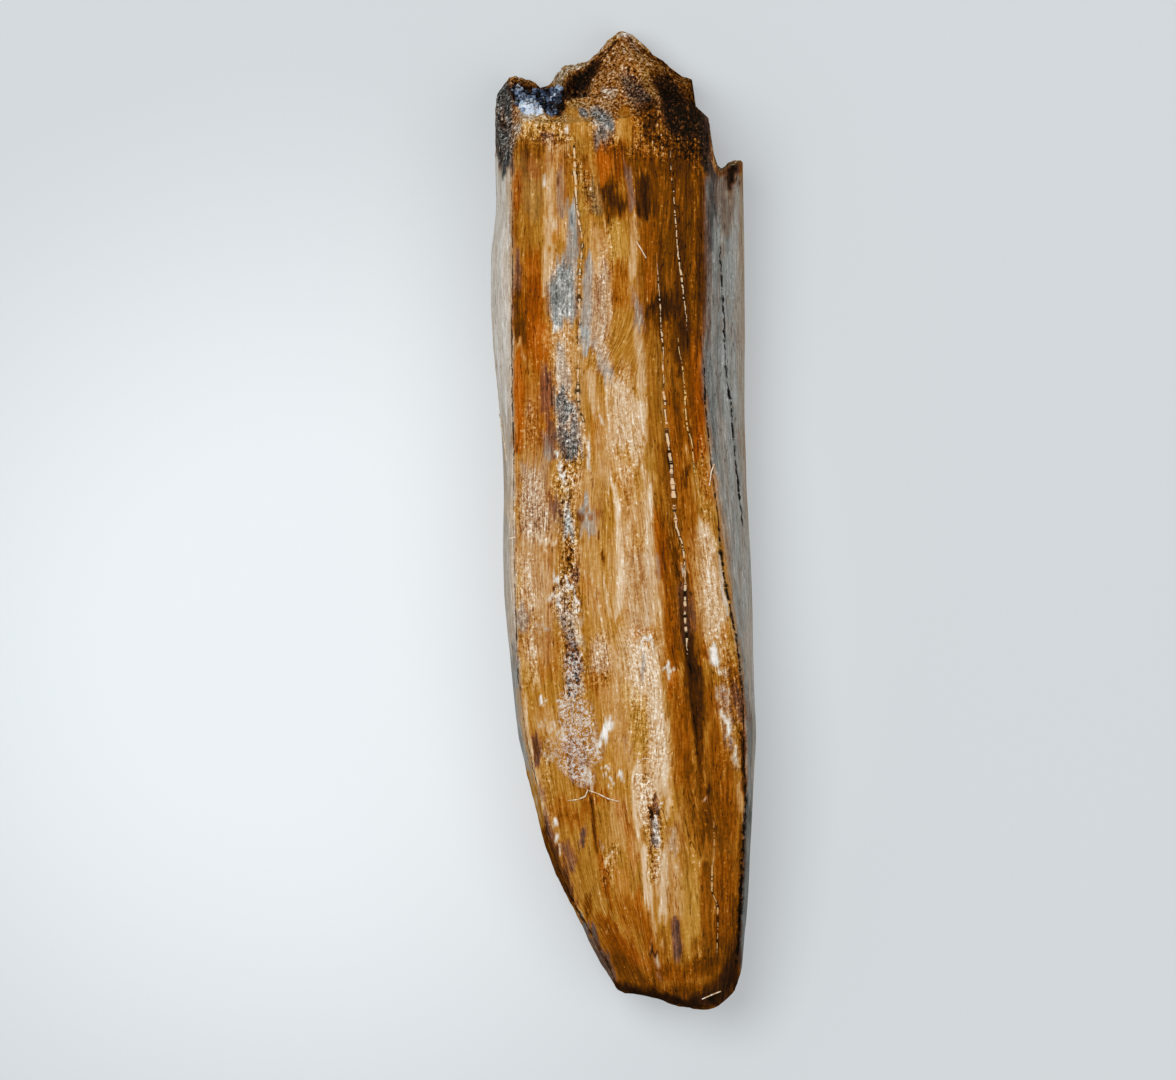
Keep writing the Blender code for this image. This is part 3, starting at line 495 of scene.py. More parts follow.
    ("honey", 0.9, ((552, 634, 10), (547, 660, 12), (545, 688, 14))),
    ("orange", 0.5, ((555, 640, 7), (548, 668, 8))),
    ("pearl", 0.8, ((537, 627, 1.8), (542, 630, 2), (549, 633, 2.6))),
    ("cream", 0.9, ((531, 636, 1.5), (532, 648, 2.6), (535, 655, 2))),
    ("gold", 0.5, ((525, 660, 5), (526, 678, 5))),
    ("tan", 0.7, ((524, 642, 5), (525, 655, 5))),
    ("umber", 0.9, ((569, 645, 4), (577, 650, 3))),
    ("char", 0.8, ((574, 655, 5), (580, 668, 5), (574, 680, 5))),
    ("white", 0.9, ((566, 651, 1), (572, 658, 1.1), (583, 663, 1.2)),
     ((568, 668, 1), (577, 664, 1.2), (584, 671, 1.2))),
    ("white", 0.8, ((572, 676, 1.2), (576, 690, 1.6))),
    ("tan", 0.8, ((578, 548, 4), (580, 570, 5))),
    ("honey", 0.9, ((588, 560, 8), (590, 590, 9), (596, 612, 8))),
    ("orange", 0.5, ((586, 580, 6), (595, 605, 6))),
    ("rust", 0.5, ((597, 585, 2), (603, 610, 3))),
    ("cream", 0.7, ((590, 570, 0.9), (597, 600, 1), (603, 625, 1)),
     ((603, 578, 1), (608, 600, 1), (611, 618, 1))),
    ("pink", 0.7, ((600, 645, 8), (600, 665, 10))),
    ("amber", 0.7, ((596, 680, 9), (604, 690, 10))),
    ("tan", 0.8, ((615, 650, 5), (615, 690, 6))),
    # Lower pale band: partly its own pale colour, partly painted sheen along the crest
    ("tan", 0.9, ((633, 510, 14), (635, 560, 15), (636, 600, 17), (636, 622, 18))),
    ("cream", 0.9, ((617, 505, 3.5), (620, 540, 4), (622, 580, 5), (618, 615, 5))),
    ("cream", 0.8, ((650, 515, 3), (651, 545, 4), (654, 590, 5), (652, 618, 6))),
    ("pale", 0.6, ((628, 530, 5), (632, 545, 6))),
    ("putty", 0.6, ((636, 530, 6), (636, 560, 6), (638, 600, 6))),
    ("pale", 1.0, ((640, 640, 16), (641, 660, 19), (641, 690, 19))),
    ("cream", 0.6, ((641, 650, 10), (646, 680, 11))),
    ("glow", 1.0, ((632, 634, 3), (642, 626, 3.5), (652, 629, 2.6))),
    ("white", 0.9, ((641, 640, 1.6), (645, 636, 1.6), (652, 637, 1.8), (654, 644, 1.2))),
    ("glow", 1.0, ((648, 643, 2.6), (650, 643, 2.8))),
    ("olive", 0.8, ((623, 647, 2.6), (626, 647, 2.2))),
    ("honey", 0.9, ((624, 661, 3), (627, 663, 2.6))),
    ("ash", 0.6, ((642, 660, 2), (644, 675, 2))),
    ("gold", 0.6, ((625, 690, 6), (630, 715, 7), (634, 745, 6))),
    # Lower right
    ("orange", 0.9, ((659, 520, 6), (662, 560, 7), (667, 600, 7), (670, 650, 9), (672, 690, 8))),
    ("rust", 0.6, ((664, 540, 4), (664, 565, 4))),
    ("honey", 0.5, ((662, 600, 3), (664, 650, 4), (664, 690, 4))),
    ("lilac", 0.6, ((657, 558, 1.8), (658, 577, 1.8))),
    ("umber", 0.9, ((672, 545, 4), (675, 560, 5), (677, 580, 3))),
    ("maroon", 0.9, ((683, 590, 5), (685, 620, 6), (687, 640, 5))),
    ("char", 0.6, ((681, 595, 2), (682, 630, 3))),
    ("maroon", 0.7, ((691, 600, 3), (694, 622, 3))),
    ("char", 1.0, ((690, 648, 6), (694, 670, 8), (695, 692, 9), (698, 715, 7), (698, 732, 5))),
    ("umber", 0.8, ((686, 655, 2), (684, 690, 2))),
    ("white", 0.9, ((683, 564, 2.3), (684.5, 571, 3)), ((663, 668, 1.6), (668, 671, 2.2), (675, 670, 1.6))),
    ("amber", 0.9, ((688, 520, 7), (690, 560, 5), (692, 585, 3))),
    ("rust", 0.9, ((704, 645, 2.5), (705, 662, 3))),
    ("pale", 1.0, ((703, 528, 7), (706, 550, 10), (707, 575, 11), (710, 600, 12), (713, 628, 13))),
    ("cream", 0.5, ((705, 575, 5), (708, 600, 7), (716, 615, 6))),
    ("white", 0.7, ((719, 558, 1.5), (723, 588, 2), (727, 614, 1.6))),
    ("putty", 0.6, ((694, 560, 4), (696, 580, 3))),
    ("glow", 0.9, ((722, 633, 4), (728, 630, 3.5))),
    ("tan", 0.7, ((710, 640, 7), (722, 650, 9))),
    ("white", 1.0, ((712, 654, 3.6), (714, 660, 5), (717, 667, 3.6))),
    ("pearl", 0.9, ((725, 670, 3), (726, 678, 3))),
    ("brown", 0.8, ((726, 660, 6), (734, 680, 7), (738, 700, 5))),
    ("maroon", 0.7, ((735, 688, 4), (741, 706, 4))),
    # Crusted flank
    ("tan", 0.7, ((519, 690, 4), (524, 720, 4), (532, 755, 3.5), (538, 790, 3), (543, 815, 2.5)),
     ((610, 695, 12), (620, 730, 11), (622, 760, 9))),
    ("cream", 0.8, ((526, 695, 1), (527, 720, 1.2), (533, 755, 1.2), (538, 790, 1), (543, 815, 1))),
    ("honey", 0.9, ((550, 700, 12), (560, 745, 18), (575, 780, 20))),
    ("amber", 0.6, ((543, 712, 6), (540, 730, 4))),
    ("white", 1.0, ((541, 693, 1.6), (541, 699, 2.2), (545, 700, 1.6))),
    ("maroon", 0.9, ((536, 738, 3), (537, 750, 3.6), (538, 762, 3)), ((541, 792, 3), (542, 802, 3.6))),
    ("umber", 0.7, ((536, 740, 2), (536, 752, 2))),
    ("pearl", 0.9, ((539, 721, 2), (548, 727, 2.8), (558, 730, 2.6)), ((543, 757, 3), (551, 758, 2.6))),
    ("putty", 0.6, ((615, 760, 12), (610, 785, 10))),
    ("white", 1.0, ((600, 745, 3.4), (604, 735, 3.6), (609, 725, 3.4), (611, 716, 2.6))),
    ("white", 0.9, ((584, 770, 3), (588, 780, 5), (592, 786, 3)), ((602, 772, 1.3), (608, 768, 1.6)),
     ((607, 781, 2.4), (612, 779, 2)), ((620, 776, 2.6), (622, 774, 2))),
    ("pink", 0.6, ((624, 738, 1.4), (626, 752, 1.4), (638, 747, 1.4))),
    ("rust", 0.9, ((590, 793, 2.4), (598, 797, 3.4), (606, 797, 2.6))),
    ("umber", 0.9, ((591, 800, 2.6), (594, 822, 2.6), (598, 852, 2.2))),
    ("amber", 0.8, ((557, 808, 10), (575, 815, 12), (584, 812, 8))),
    ("brown", 0.6, ((560, 816, 5), (578, 818, 5))),
    ("maroon", 0.9, ((545, 812, 2.6), (549, 832, 4), (551, 845, 3.6))),
    ("white", 0.9, ((555, 821, 2.6), (556, 825, 2.6)), ((556, 840, 3), (559, 846, 2.6))),
    ("maroon", 1.0, ((582, 833, 2.6), (583, 842, 2.8))),
    ("honey", 0.8, ((568, 838, 8), (575, 858, 10)), ((604, 825, 6), (612, 845, 7))),
    ("pink", 0.8, ((603, 842, 2), (601, 849, 2))),
    ("orange", 0.8, ((618, 800, 5), (628, 830, 4.5), (635, 862, 4))),
    ("umber", 0.5, ((622, 800, 1.2), (632, 838, 1.2), (640, 868, 1))),
    # Pale ridge: partly its own pale colour, partly painted sheen along the crest
    ("pale", 1.0, ((652, 690, 9), (658, 730, 10), (659, 760, 11), (657, 788, 12))),
    ("cream", 0.7, ((656, 700, 5), (661, 740, 6), (661, 775, 6))),
    ("gold", 0.7, ((640, 695, 5), (643, 730, 5), (642, 752, 4))),
    ("pale", 0.9, ((640, 768, 6), (640, 792, 8), (643, 815, 8))),
    ("gold", 0.5, ((645, 765, 3), (642, 785, 3))),
    ("cream", 0.9, ((637, 762, 1), (632, 788, 1.2), (634, 812, 1.4), (639, 840, 2.6))),
    ("maroon", 1.0, ((654, 799, 2.6), (656, 808, 3.4))),
    ("white", 0.9, ((659, 804, 1.8), (661, 804, 1.8))),
    ("slate", 0.7, ((654, 820, 4), (655, 842, 4))),
    ("white", 0.6, ((656, 817, 1.2), (653, 832, 1.2), (659, 836, 1.2))),
    ("char", 0.7, ((650, 822, 1), (651, 850, 1))),
    ("cream", 0.8, ((668, 795, 3), (668, 812, 2))),
    ("pink", 0.8, ((671, 830, 4), (674, 850, 5))),
    ("tan", 0.7, ((680, 815, 4), (682, 845, 5))),
    ("amber", 0.9, ((678, 700, 7), (681, 740, 9), (681, 778, 9))),
    ("orange", 0.5, ((682, 705, 4), (686, 760, 5))),
    ("umber", 0.9, ((699, 740, 3), (701, 780, 1.6), (702, 795, 1.6)),
     ((707, 795, 5), (708, 815, 5), (705, 838, 4))),
    ("white", 0.9, ((704, 798, 1.2), (705, 799, 1.2))),
    ("amber", 0.9, ((714, 700, 5), (715, 740, 6), (718, 775, 7), (724, 805, 9))),
    ("orange", 0.5, ((718, 745, 5), (726, 785, 6), (728, 830, 7))),
    ("umber", 0.5, ((724, 762, 3), (720, 770, 3))),
    ("white", 1.0, ((719, 697, 3.3), (728, 697, 3.3)), ((724, 714, 3.6), (727, 723, 4.4))),
    ("white", 0.9, ((736, 752, 2.6), (735, 760, 3.4))),
    ("cream", 0.9, ((741, 780, 2.6), (740, 800, 3), (741, 812, 2))),
    ("maroon", 0.6, ((737, 700, 5), (741, 715, 4))),
    ("char", 0.9, ((741, 728, 2.6), (743, 752, 3), (743, 770, 2))),
    ("honey", 0.7, ((688, 800, 6), (689, 850, 6))),
    # Tip
    ("maroon", 0.9, ((553, 852, 4), (561, 873, 6), (569, 893, 5), (576, 907, 3))),
    ("umber", 0.6, ((558, 862, 5), (566, 885, 4))),
    ("honey", 0.9, ((582, 868, 12), (590, 895, 13), (600, 912, 10))),
    ("umber", 0.9, ((588, 894, 2.6), (588, 905, 3.2), (590, 915, 2.4))),
    ("rust", 0.7, ((602, 860, 4), (606, 885, 4), (610, 905, 3))),
    ("cream", 0.7, ((608, 856, 3), (613, 859, 2.4))),
    ("glow", 0.7, ((620, 870, 7), (626, 900, 9), (630, 922, 8))),
    ("orange", 0.8, ((638, 895, 5), (645, 928, 5), (650, 945, 5))),
    ("rust", 0.8, ((606, 922, 7), (618, 942, 10), (632, 958, 10))),
    ("cream", 0.9, ((605.5, 933, 1.2), (609, 933, 1.2))),
    ("umber", 0.7, ((618, 960, 6), (632, 975, 8), (650, 986, 7))),
    ("orange", 0.7, ((645, 962, 7), (662, 972, 8), (678, 975, 8))),
    ("cream", 1.0, ((644, 848, 3.6), (646, 878, 3.4), (650, 905, 3), (654, 932, 2))),
    ("glow", 0.7, ((643, 928, 1.6), (647, 940, 1.6))),
    ("tan", 0.9, ((655, 860, 3), (656, 895, 2.6))),
    ("pale", 1.0, ((664, 850, 6), (664, 885, 6), (663, 915, 4))),
    ("cream", 0.7, ((664, 852, 2.6), (662, 885, 2.6), (661, 910, 1.6))),
    ("tan", 0.9, ((675, 868, 7), (677, 895, 8), (678, 912, 7))),
    ("gold", 0.7, ((688, 880, 9), (690, 912, 9), (690, 942, 7))),
    ("putty", 0.6, ((696, 855, 2), (697, 890, 2.6))),
    ("maroon", 1.0, ((675, 914, 1.4), (676, 930, 3), (678, 948, 4.4), (677, 956, 3))),
    ("black", 0.9, ((652, 950, 2.4), (655, 953, 2.2), (650, 954, 1))),
    ("cream", 0.9, ((650, 946, 1.3), (651, 947, 1.3)), ((660, 939, 1.3), (662, 948, 1.6))),
    ("white", 0.9, ((656, 956, 1.6), (658, 966, 1.8))),
    ("white", 0.8, ((658, 975, 1.6), (661, 978, 1.3))),
    ("brown", 0.9, ((705, 865, 6), (707, 905, 6), (708, 935, 6))),
    ("rust", 0.7, ((723, 860, 9), (724, 905, 9), (722, 940, 9))),
    ("umber", 0.7, ((734, 890, 4), (735, 930, 5), (732, 955, 6))),
    ("umber", 0.8, ((696, 968, 9), (712, 965, 9))),
    # Dark strokes along the tip's bottom edge: painted shade where the worn end turns under
    ("char", 0.9, ((732, 962, 6), (727, 980, 11), (714, 994, 10), (694, 1000, 8))),
    ("black", 0.6, ((730, 968, 4), (726, 982, 7))),
    ("umber", 0.9, ((622, 984, 5), (645, 992, 6), (670, 997, 7), (690, 990, 8))),
    ("char", 0.6, ((625, 990, 3), (655, 998, 3), (690, 1006, 3))),
    ("slate", 0.9, ((580, 918, 3), (592, 938, 4), (602, 957, 4), (612, 978, 3))),
    ("soot", 0.6, ((596, 938, 1.2), (608, 960, 1.4), (616, 978, 1.2))),
    # Washes over all the strokes above. The dark ones down the right-hand part and over the tip are painted
    # shade, as the light falls from the left; the pale ones on the flanks are painted light
    ("char", 0.4, ((680, 175, 26), (684, 250, 22), (686, 335, 22))),
    ("umber", 0.4, ((640, 175, 20), (652, 250, 14), (652, 325, 14)), ((565, 505, 6), (562, 520, 4))),
    ("char", 0.2, ((607, 194, 13), (622, 205, 12))),
    ("char", 0.4, ((644, 186, 10), (650, 205, 9))),
    ("umber", 0.3, ((535, 165, 14), (570, 165, 12), (560, 210, 8)), ((722, 180, 8), (728, 215, 8)),
     ((572, 750, 12), (590, 792, 10))),
    ("umber", 0.2, ((525, 215, 14), (525, 290, 14))),
    ("char", 0.5, ((636, 84, 10), (642, 108, 10)), ((664, 80, 12), (684, 100, 24), (694, 145, 18))),
    ("slate", 0.4, ((596, 114, 6), (606, 132, 8))),
    ("char", 0.35, ((525, 148, 10), (552, 140, 7)), ((612, 152, 10), (670, 155, 20))),
    # Dark washes down the right-hand part, here and below: painted shade
    ("umber", 0.5, ((678, 340, 14), (684, 430, 12))),
    ("umber", 0.25, ((652, 350, 8), (655, 440, 8))),
    ("rust", 0.5, ((530, 350, 14), (540, 400, 16), (536, 440, 12))),
    ("umber", 0.45, ((670, 450, 12), (672, 560, 12), (676, 655, 12)),
     ((684, 690, 12), (694, 760, 14), (708, 830, 22))),
    ("umber", 0.25, ((698, 545, 8), (697, 600, 8), (700, 655, 10))),
    ("umber", 0.4, ((706, 700, 14), (730, 690, 16), (740, 715, 10)),
     ((718, 740, 14), (728, 800, 14), (732, 880, 14), (728, 940, 14)),
     ((600, 930, 14), (620, 970, 14), (650, 985, 14), (715, 975, 22))),
    ("umber", 0.35, ((622, 900, 8), (655, 945, 14), (662, 965, 12))),
    ("char", 0.4, ((698, 945, 8), (728, 955, 12))),
    ("char", 0.9, ((612, 988, 6), (645, 996, 6), (690, 1005, 5), (726, 998, 8))),
    ("char", 0.4, ((742, 830, 3), (740, 900, 3), (735, 985, 6)),
     ((563, 610, 4), (570, 640, 6), (572, 690, 6))),
    # Grey strip down the right edge by the tip: painted reflection of the floor
    ("ash", 0.6, ((750, 825, 2.5), (749, 880, 3.5), (746, 930, 3.5), (743, 965, 2))),
    ("char", 0.8, ((744, 766, 3), (744, 792, 3))),
    ("umber", 0.9, ((547, 846, 7), (558, 878, 8), (571, 906, 7))),
    ("maroon", 0.6, ((566, 848, 5), (572, 866, 5))),
    ("char", 0.6, ((651, 800, 5), (652, 815, 5))),
    ("cream", 0.3, ((578, 340, 6), (580, 440, 6)), ((600, 470, 9), (590, 550, 9), (604, 660, 9)),
     ((545, 600, 10), (545, 620, 10)), ((533, 655, 9), (534, 680, 6)), ((536, 770, 5), (546, 815, 5)),
     ((638, 760, 8), (638, 860, 8)), ((617, 800, 8), (619, 840, 8)),
     ((512, 450, 3), (512, 540, 4), (513, 640, 4)), ((612, 540, 5), (612, 600, 5))),
    ("white", 0.5, ((556, 583, 4), (567, 597, 4))),
    ("cream", 0.4, ((646, 470, 5), (647, 600, 5)), ((660, 580, 3), (661, 660, 4)),
     ((618, 640, 7), (622, 665, 7))),
    ("cream", 0.35, ((545, 720, 12), (555, 736, 10))),
    # Pale washes on the flanks: painted light where the steep sides face away from the lamps, and painted
    # reflection
    ("white", 0.4, ((499, 185, 9), (500, 350, 10), (504, 410, 5))),
    ("pearl", 0.5, ((742, 215, 10), (742, 330, 12), (748, 460, 10), (752, 600, 8), (755, 700, 6))),
    ("pale", 0.15, ((620, 385, 12), (628, 440, 16))),
    ("cream", 0.35, ((594, 342, 5), (606, 366, 6))),
    ("brown", 0.3, ((571, 235, 4), (570, 262, 5)), ((612, 190, 8), (612, 204, 8))),
    ("slate", 0.25, ((563, 280, 10), (563, 312, 11))),
    # More pale washes on the flanks: painted light
    ("cream", 0.45, ((507, 440, 5), (508, 520, 5))),
    ("pearl", 0.3, ((724, 420, 6), (728, 480, 7), (738, 560, 7), (748, 650, 6))),
    ("pearl", 0.6, ((749, 620, 5), (751, 690, 4))),
    ("white", 0.35, ((524, 102, 4), (536, 106, 5))),
    ("tan", 0.25, ((590, 170, 6), (594, 205, 6))),
    ("tan", 0.4, ((692, 540, 5), (693, 585, 5))),
    ("umber", 0.42, ((624, 44, 8), (617, 68, 20), (612, 92, 24))),
    ("black", 0.7, ((664, 84, 11), (676, 106, 15), (684, 126, 14))),
    ("black", 0.6, ((698, 112, 8), (705, 140, 6), (706, 168, 4))),
    ("char", 0.5, ((653, 308, 9), (670, 310, 8)), ((687, 575, 3), (688, 640, 4))),
    ("olive", 0.3, ((530, 165, 12), (534, 205, 12))),
    ("brown", 0.25, ((668, 190, 8), (672, 260, 8))),
    ("umber", 0.25, ((518, 270, 6), (520, 320, 8))),
    ("pale", 0.3, ((600, 440, 6), (606, 480, 6))),
    ("pink", 0.3, ((535, 465, 14), (540, 530, 20), (535, 600, 16), (540, 650, 14))),
    ("tan", 0.35, ((602, 400, 8), (606, 470, 8))),
    ("brown", 0.2, ((652, 565, 4), (655, 640, 4))),
    ("umber", 0.35, ((635, 110, 10), (642, 140, 10))),
    ("umber", 0.3, ((596, 136, 8), (608, 142, 8))),
    ("black", 0.2, ((616, 988, 5), (650, 999, 6), (690, 1006, 6), (726, 992, 9), (736, 975, 5))),
    ("lilac", 0.15, ((638, 560, 12), (640, 620, 12))),
)

# Where the surface is grainy or crusted rather than smooth, in the same form
GRAINS = (
    (1.0, ((624, 40, 8), (618, 70, 26), (640, 95, 40), (600, 110, 22))),
    (1.0, ((670, 95, 20), (680, 125, 22), (690, 145, 16))),
    (1.0, ((505, 90, 10), (503, 155, 10))),
    (0.9, ((520, 85, 8), (560, 90, 14), (585, 80, 10))),
    (0.8, ((530, 115, 12), (560, 135, 14))),
    (0.6, ((572, 160, 6), (585, 180, 8), (592, 210, 8))),
    (0.55, ((562, 270, 12), (562, 320, 14), (563, 380, 14))),
    (0.9, ((565, 400, 12), (572, 450, 14), (566, 490, 12))),
    (0.5, ((530, 405, 8), (532, 440, 9))),
    (0.65, ((530, 480, 12), (535, 525, 18))),
    (1.0, ((566, 500, 8), (570, 560, 9), (566, 610, 14))),
    (0.5, ((525, 560, 10), (528, 620, 12), (530, 680, 8))),
    (0.8, ((570, 630, 12), (576, 690, 12))),
    (0.6, ((600, 640, 10), (600, 675, 12))),
    (0.45, ((612, 225, 7), (600, 300, 12), (600, 360, 12))),
    (0.4, ((622, 375, 12), (626, 440, 18), (626, 500, 12))),
    (0.3, ((636, 540, 14), (636, 600, 12))),
    (0.55, ((640, 640, 18), (642, 700, 18), (655, 760, 16))),
    (0.9, ((642, 780, 10), (655, 830, 10), (655, 880, 4))),
    (0.45, ((706, 540, 10), (710, 600, 12), (722, 650, 14), (732, 700, 12), (738, 760, 8))),
    (0.5, ((700, 440, 4), (706, 520, 6))),
    (0.6, ((612, 850, 8), (606, 880, 6))),
    (0.4, ((545, 740, 6), (550, 820, 6))),
    (0.8, ((515, 134, 10), (600, 136, 14), (700, 150, 16))),
)
SMOOTHS = (
    (1.0, ((571, 112, 5), (577, 126, 8), (583, 140, 7))),
    (1.0, ((624, 112, 5), (625, 128, 9), (624, 142, 8))),
)
WEBS = (
    (1.0, ((565, 700, 8), (576, 715, 16), (578, 740, 18), (590, 752, 12))),
    (0.9, ((566, 764, 8), (584, 776, 10))),
    (0.8, ((572, 660, 9), (575, 690, 9))),
    (0.5, ((565, 615, 9), (575, 640, 9))),
    (0.5, ((550, 742, 6), (560, 755, 8))),
    (0.4, ((722, 690, 8), (730, 745, 6))),
)

# Thin lines down the tooth: the points (photo x, photo y, half width) that each follows
LINES = {
    "serration": ((574, 144, 0.2), (574, 152, 1.8), (574.5, 175, 2.0), (575.5, 192, 1.5), (576.5, 208, 1.2),
                  (579, 224, 1.3), (582.5, 242, 1.8), (582, 256, 1.6), (579.5, 272, 1.6), (579, 300, 2.4),
                  (580, 325, 2.0), (578, 350, 2.4), (577.8, 372, 1.8), (578, 392, 2.2), (579, 408, 1.4),
                  (584, 424, 1.2), (587, 440, 1.4), (588, 458, 0.4), (590, 470, 0.1)),
    "upper_crack": ((670, 150, 0.1), (670.5, 160, 0.7), (672, 180, 0.8), (674, 200, 0.9), (676, 225, 0.9),
                    (677, 242, 0.9), (679, 262, 1.0), (682, 280, 1.2), (684, 300, 0.9), (686, 318, 0.7),
                    (687, 332, 0.2)),
    "long_crack": ((657, 262, 0.1), (658, 281, 0.5), (660, 305, 0.8), (661, 330, 0.8), (663, 354, 0.8),
                   (663, 385, 0.9), (665, 409, 1.0), (667, 432, 1.3), (668.5, 448, 1.6), (671, 466, 2.0),
                   (672.5, 490, 2.4), (674, 512, 2.0), (676, 528, 1.6), (682, 545, 1.3), (684, 558, 1.2),
                   (684.5, 580, 1.3), (684.6, 602, 1.4), (685, 622, 1.2), (686.5, 640, 1.0), (688, 660, 0.2)),
    "short_crack": ((678, 335, 0.1), (679, 351, 0.7), (683, 372, 0.8), (685, 395, 0.9), (685, 409, 1.0),
                    (687, 428, 0.8), (691, 440, 0.8), (693, 455, 0.7), (694, 470, 0.6), (697, 490, 0.2)),
    "flank_crack": ((719, 245, 0.1), (720, 262, 0.7), (723, 300, 0.9), (724, 335, 1.0), (726, 372, 1.0),
                    (731, 400, 0.9), (734, 440, 1.0), (737, 475, 0.9), (741, 508, 0.7), (743, 530, 0.2)),
    "right_border": ((700, 335, 0.2), (704, 370, 0.8), (705, 405, 0.8), (709, 445, 0.7), (713, 480, 0.5),
                     (718, 520, 0.8), (720, 545, 1.3), (724, 578, 1.7), (730, 608, 1.3), (736, 636, 1.0),
                     (740, 670, 1.0), (743, 700, 0.8), (744, 760, 0.9), (746, 800, 1.2), (744, 830, 1.8),
                     (742, 860, 2.0), (741, 900, 2.0), (739, 940, 2.0), (737, 965, 1.4)),
    "left_border": ((511, 170, 0.3), (513, 260, 0.3), (512, 330, 0.5), (512, 380, 0.7), (514, 450, 0.5),
                    (513, 520, 0.2), (515, 600, 0.3), (516, 630, 0.7), (518, 680, 0.3), (525, 730, 0.2),
                    (536, 780, 0.2), (547, 830, 0.5), (558, 868, 0.7), (575, 907, 0.8), (592, 935, 1.3),
                    (606, 960, 1.4), (616, 984, 0.8)),
    "tip_crack": ((713.5, 818, 0.1), (714, 835, 0.9), (714, 855, 1.0), (712, 870, 1.2), (711.5, 890, 1.2),
                  (715, 899, 0.9), (718, 908, 0.9), (718, 925, 0.8), (717, 945, 0.8), (717, 955, 0.1)),
}
LINE_FINENESS = 0.7
LINE_LEAST_HALF_WIDTH = 0.05
LINE_REACH = 8
LINE_END_FADE = 6
CORE_OF_LINE = {"serration": "cream", "upper_crack": "cream", "long_crack": "cream", "short_crack": "straw",
                "flank_crack": "pitch", "right_border": "pitch", "left_border": "umber", "tip_crack": "tan"}

# Layers of even noise over the photograph's plane. Each layer has its strength, its size across and its size
# down in pixels, and its seed. The first ones move strokes and lines about, in pixels.
SWAY = ((1.2, 3.0, 14, 1), (0.5, 1.6, 5, 2))
DRIFT = ((9.0, 1.8, 30, 3), (5.0, 3.5, 12, 4))
DRIFT_ON_BREAK = ((1.6, 1.8, 30, 3), (1.0, 3.5, 12, 4))
FLANK_DRIFT = ((24, 30, 60, 7), (9, 9, 20, 8))
LINE_NUDGE = ((0.45, 9.0, 5.0, 31), (0.3, 9.0, 2.2, 32))
LINE_WIDTH_CHANGES = ((0.6, 9, 4, 33),)
STROKE_GAPS = ((0.18, 2.6, 8, 41), (0.108, 6, 22, 42))
BACK_TONES = ((0.1, 14, 90, 21), (0.07, 5, 40, 22))
BACK_GREYS = ((0.5, 30, 140, 23),)
FIBRE_RELIEF = ((0.008, 1.6, 40, 11), (0.014, 4.5, 90, 12))
ROUGH_RELIEF = ((0.5, 3.6, 4.2, 13), (0.5, 1.9, 2.1, 14))

# How soft the edges of strokes and of grainy patches are, and how far round a stroke is looked at
STROKE_SOFTNESS = 0.4
PATCH_SOFTNESS = 0.6
STROKE_BLUR = 0.7
STROKE_MARGIN = 4

# Where the strokes drift: rows of the photograph between which the drift grows or calms down
DRIFT_GROWS = (130, 165)
DRIFT_BESIDE_BREAK = 0.35
DRIFT_CALMS = (930, 970)
DRIFT_LOST_AT_TIP = 0.7
FLANK_DRIFT_GROWS = (110, 170)
FLANK_DRIFT_CALMS = (890, 960)
FLANK_DRIFT_LOST_AT_TIP = 0.6
GRAIN_DRIFT_SHARE = 0.4
FLANK_PIXELS_PER_MM = 40

# Places round the tooth between which the flanks' drift and the plain finish of the hidden back come and go
LEFT_FLANK_FADES = (0.75, 1.0)
RIGHT_FLANK_COMES = (5.0, 5.25)
RIGHT_FLANK_FADES = (6.0, 6.1)
BACK_COMES = (6.05, 6.5)
BACK_FADES = (7.5, 7.95)
BACK_TONE = 0.42
BACK_GREY = 0.3
BREAK_FLOW_SHIFT = 5

# Fine relief in millimetres: pale crust stands up, dark stains and the sides of thin lines are worn in
PALE_CRUST_HEIGHT = 0.06
PALE_CRUST_TONES = (0.72, 0.92)
PALE_CRUST_ROUGHNESS = 0.4
DARK_STAIN_DEPTH = 0.04
DARK_STAIN_TONES = (0.05, 0.25)
GRAIN_HEIGHT = 0.045
WEB_HEIGHT = 0.02
LINE_CORE_HEIGHT = 0.02
LINE_CORE_EDGE = (0.3, 1.0)
LINE_SIDE_DEPTH = 0.03
LINE_SIDE_EDGE = (1.0, 2.6)

# Fibres that cling to the tooth: points (photo x, photo y, height above the surface in millimetres)
FIBRES = (
    ((499.5, 414, 0.12), (502, 428, 0.05), (505, 446, 0.05), (507, 461, 0.02)),
    ((588, 789, 0.03), (585, 796, 0.09), (578, 799, 0.05), (568, 800, 0.02)),
    ((589, 790, 0.03), (598, 793, 0.07), (608, 798, 0.1), (619, 801, 0.02)),
    ((714, 464, 0.02), (711, 472, 0.08), (709, 486, 0.02)),
    ((636, 242, 0.02), (641, 250, 0.05), (646, 259, 0.02)),
    ((637, 763, 0.01), (643, 758, 0.05), (649, 758, 0.01)),
    ((508, 539, 0.02), (512, 538, 0.05), (516, 537, 0.01)),
)
FIBRE_STEPS = 5
SCRATCH = ((702, 999, 0.01), (711, 995, 0.02), (721, 991, 0.01))

# The crystal crust: where it lies and how far apart its crystals stand, in pixels
CRYSTAL_PATCHES = (
    (1.0, ((516, 89, 5), (524, 98, 9), (530, 108, 9), (538, 108, 8))),
    (1.0, ((536, 97, 9), (548, 98, 10), (556, 99, 7))),
    (1.0, ((546, 108, 7), (552, 111, 5))),
    (1.0, ((552, 92, 5), (561, 89, 3))),
)
CRYSTAL_FIELD = ((510, 570), (80, 124))
CRYSTAL_SPACING = 2.4
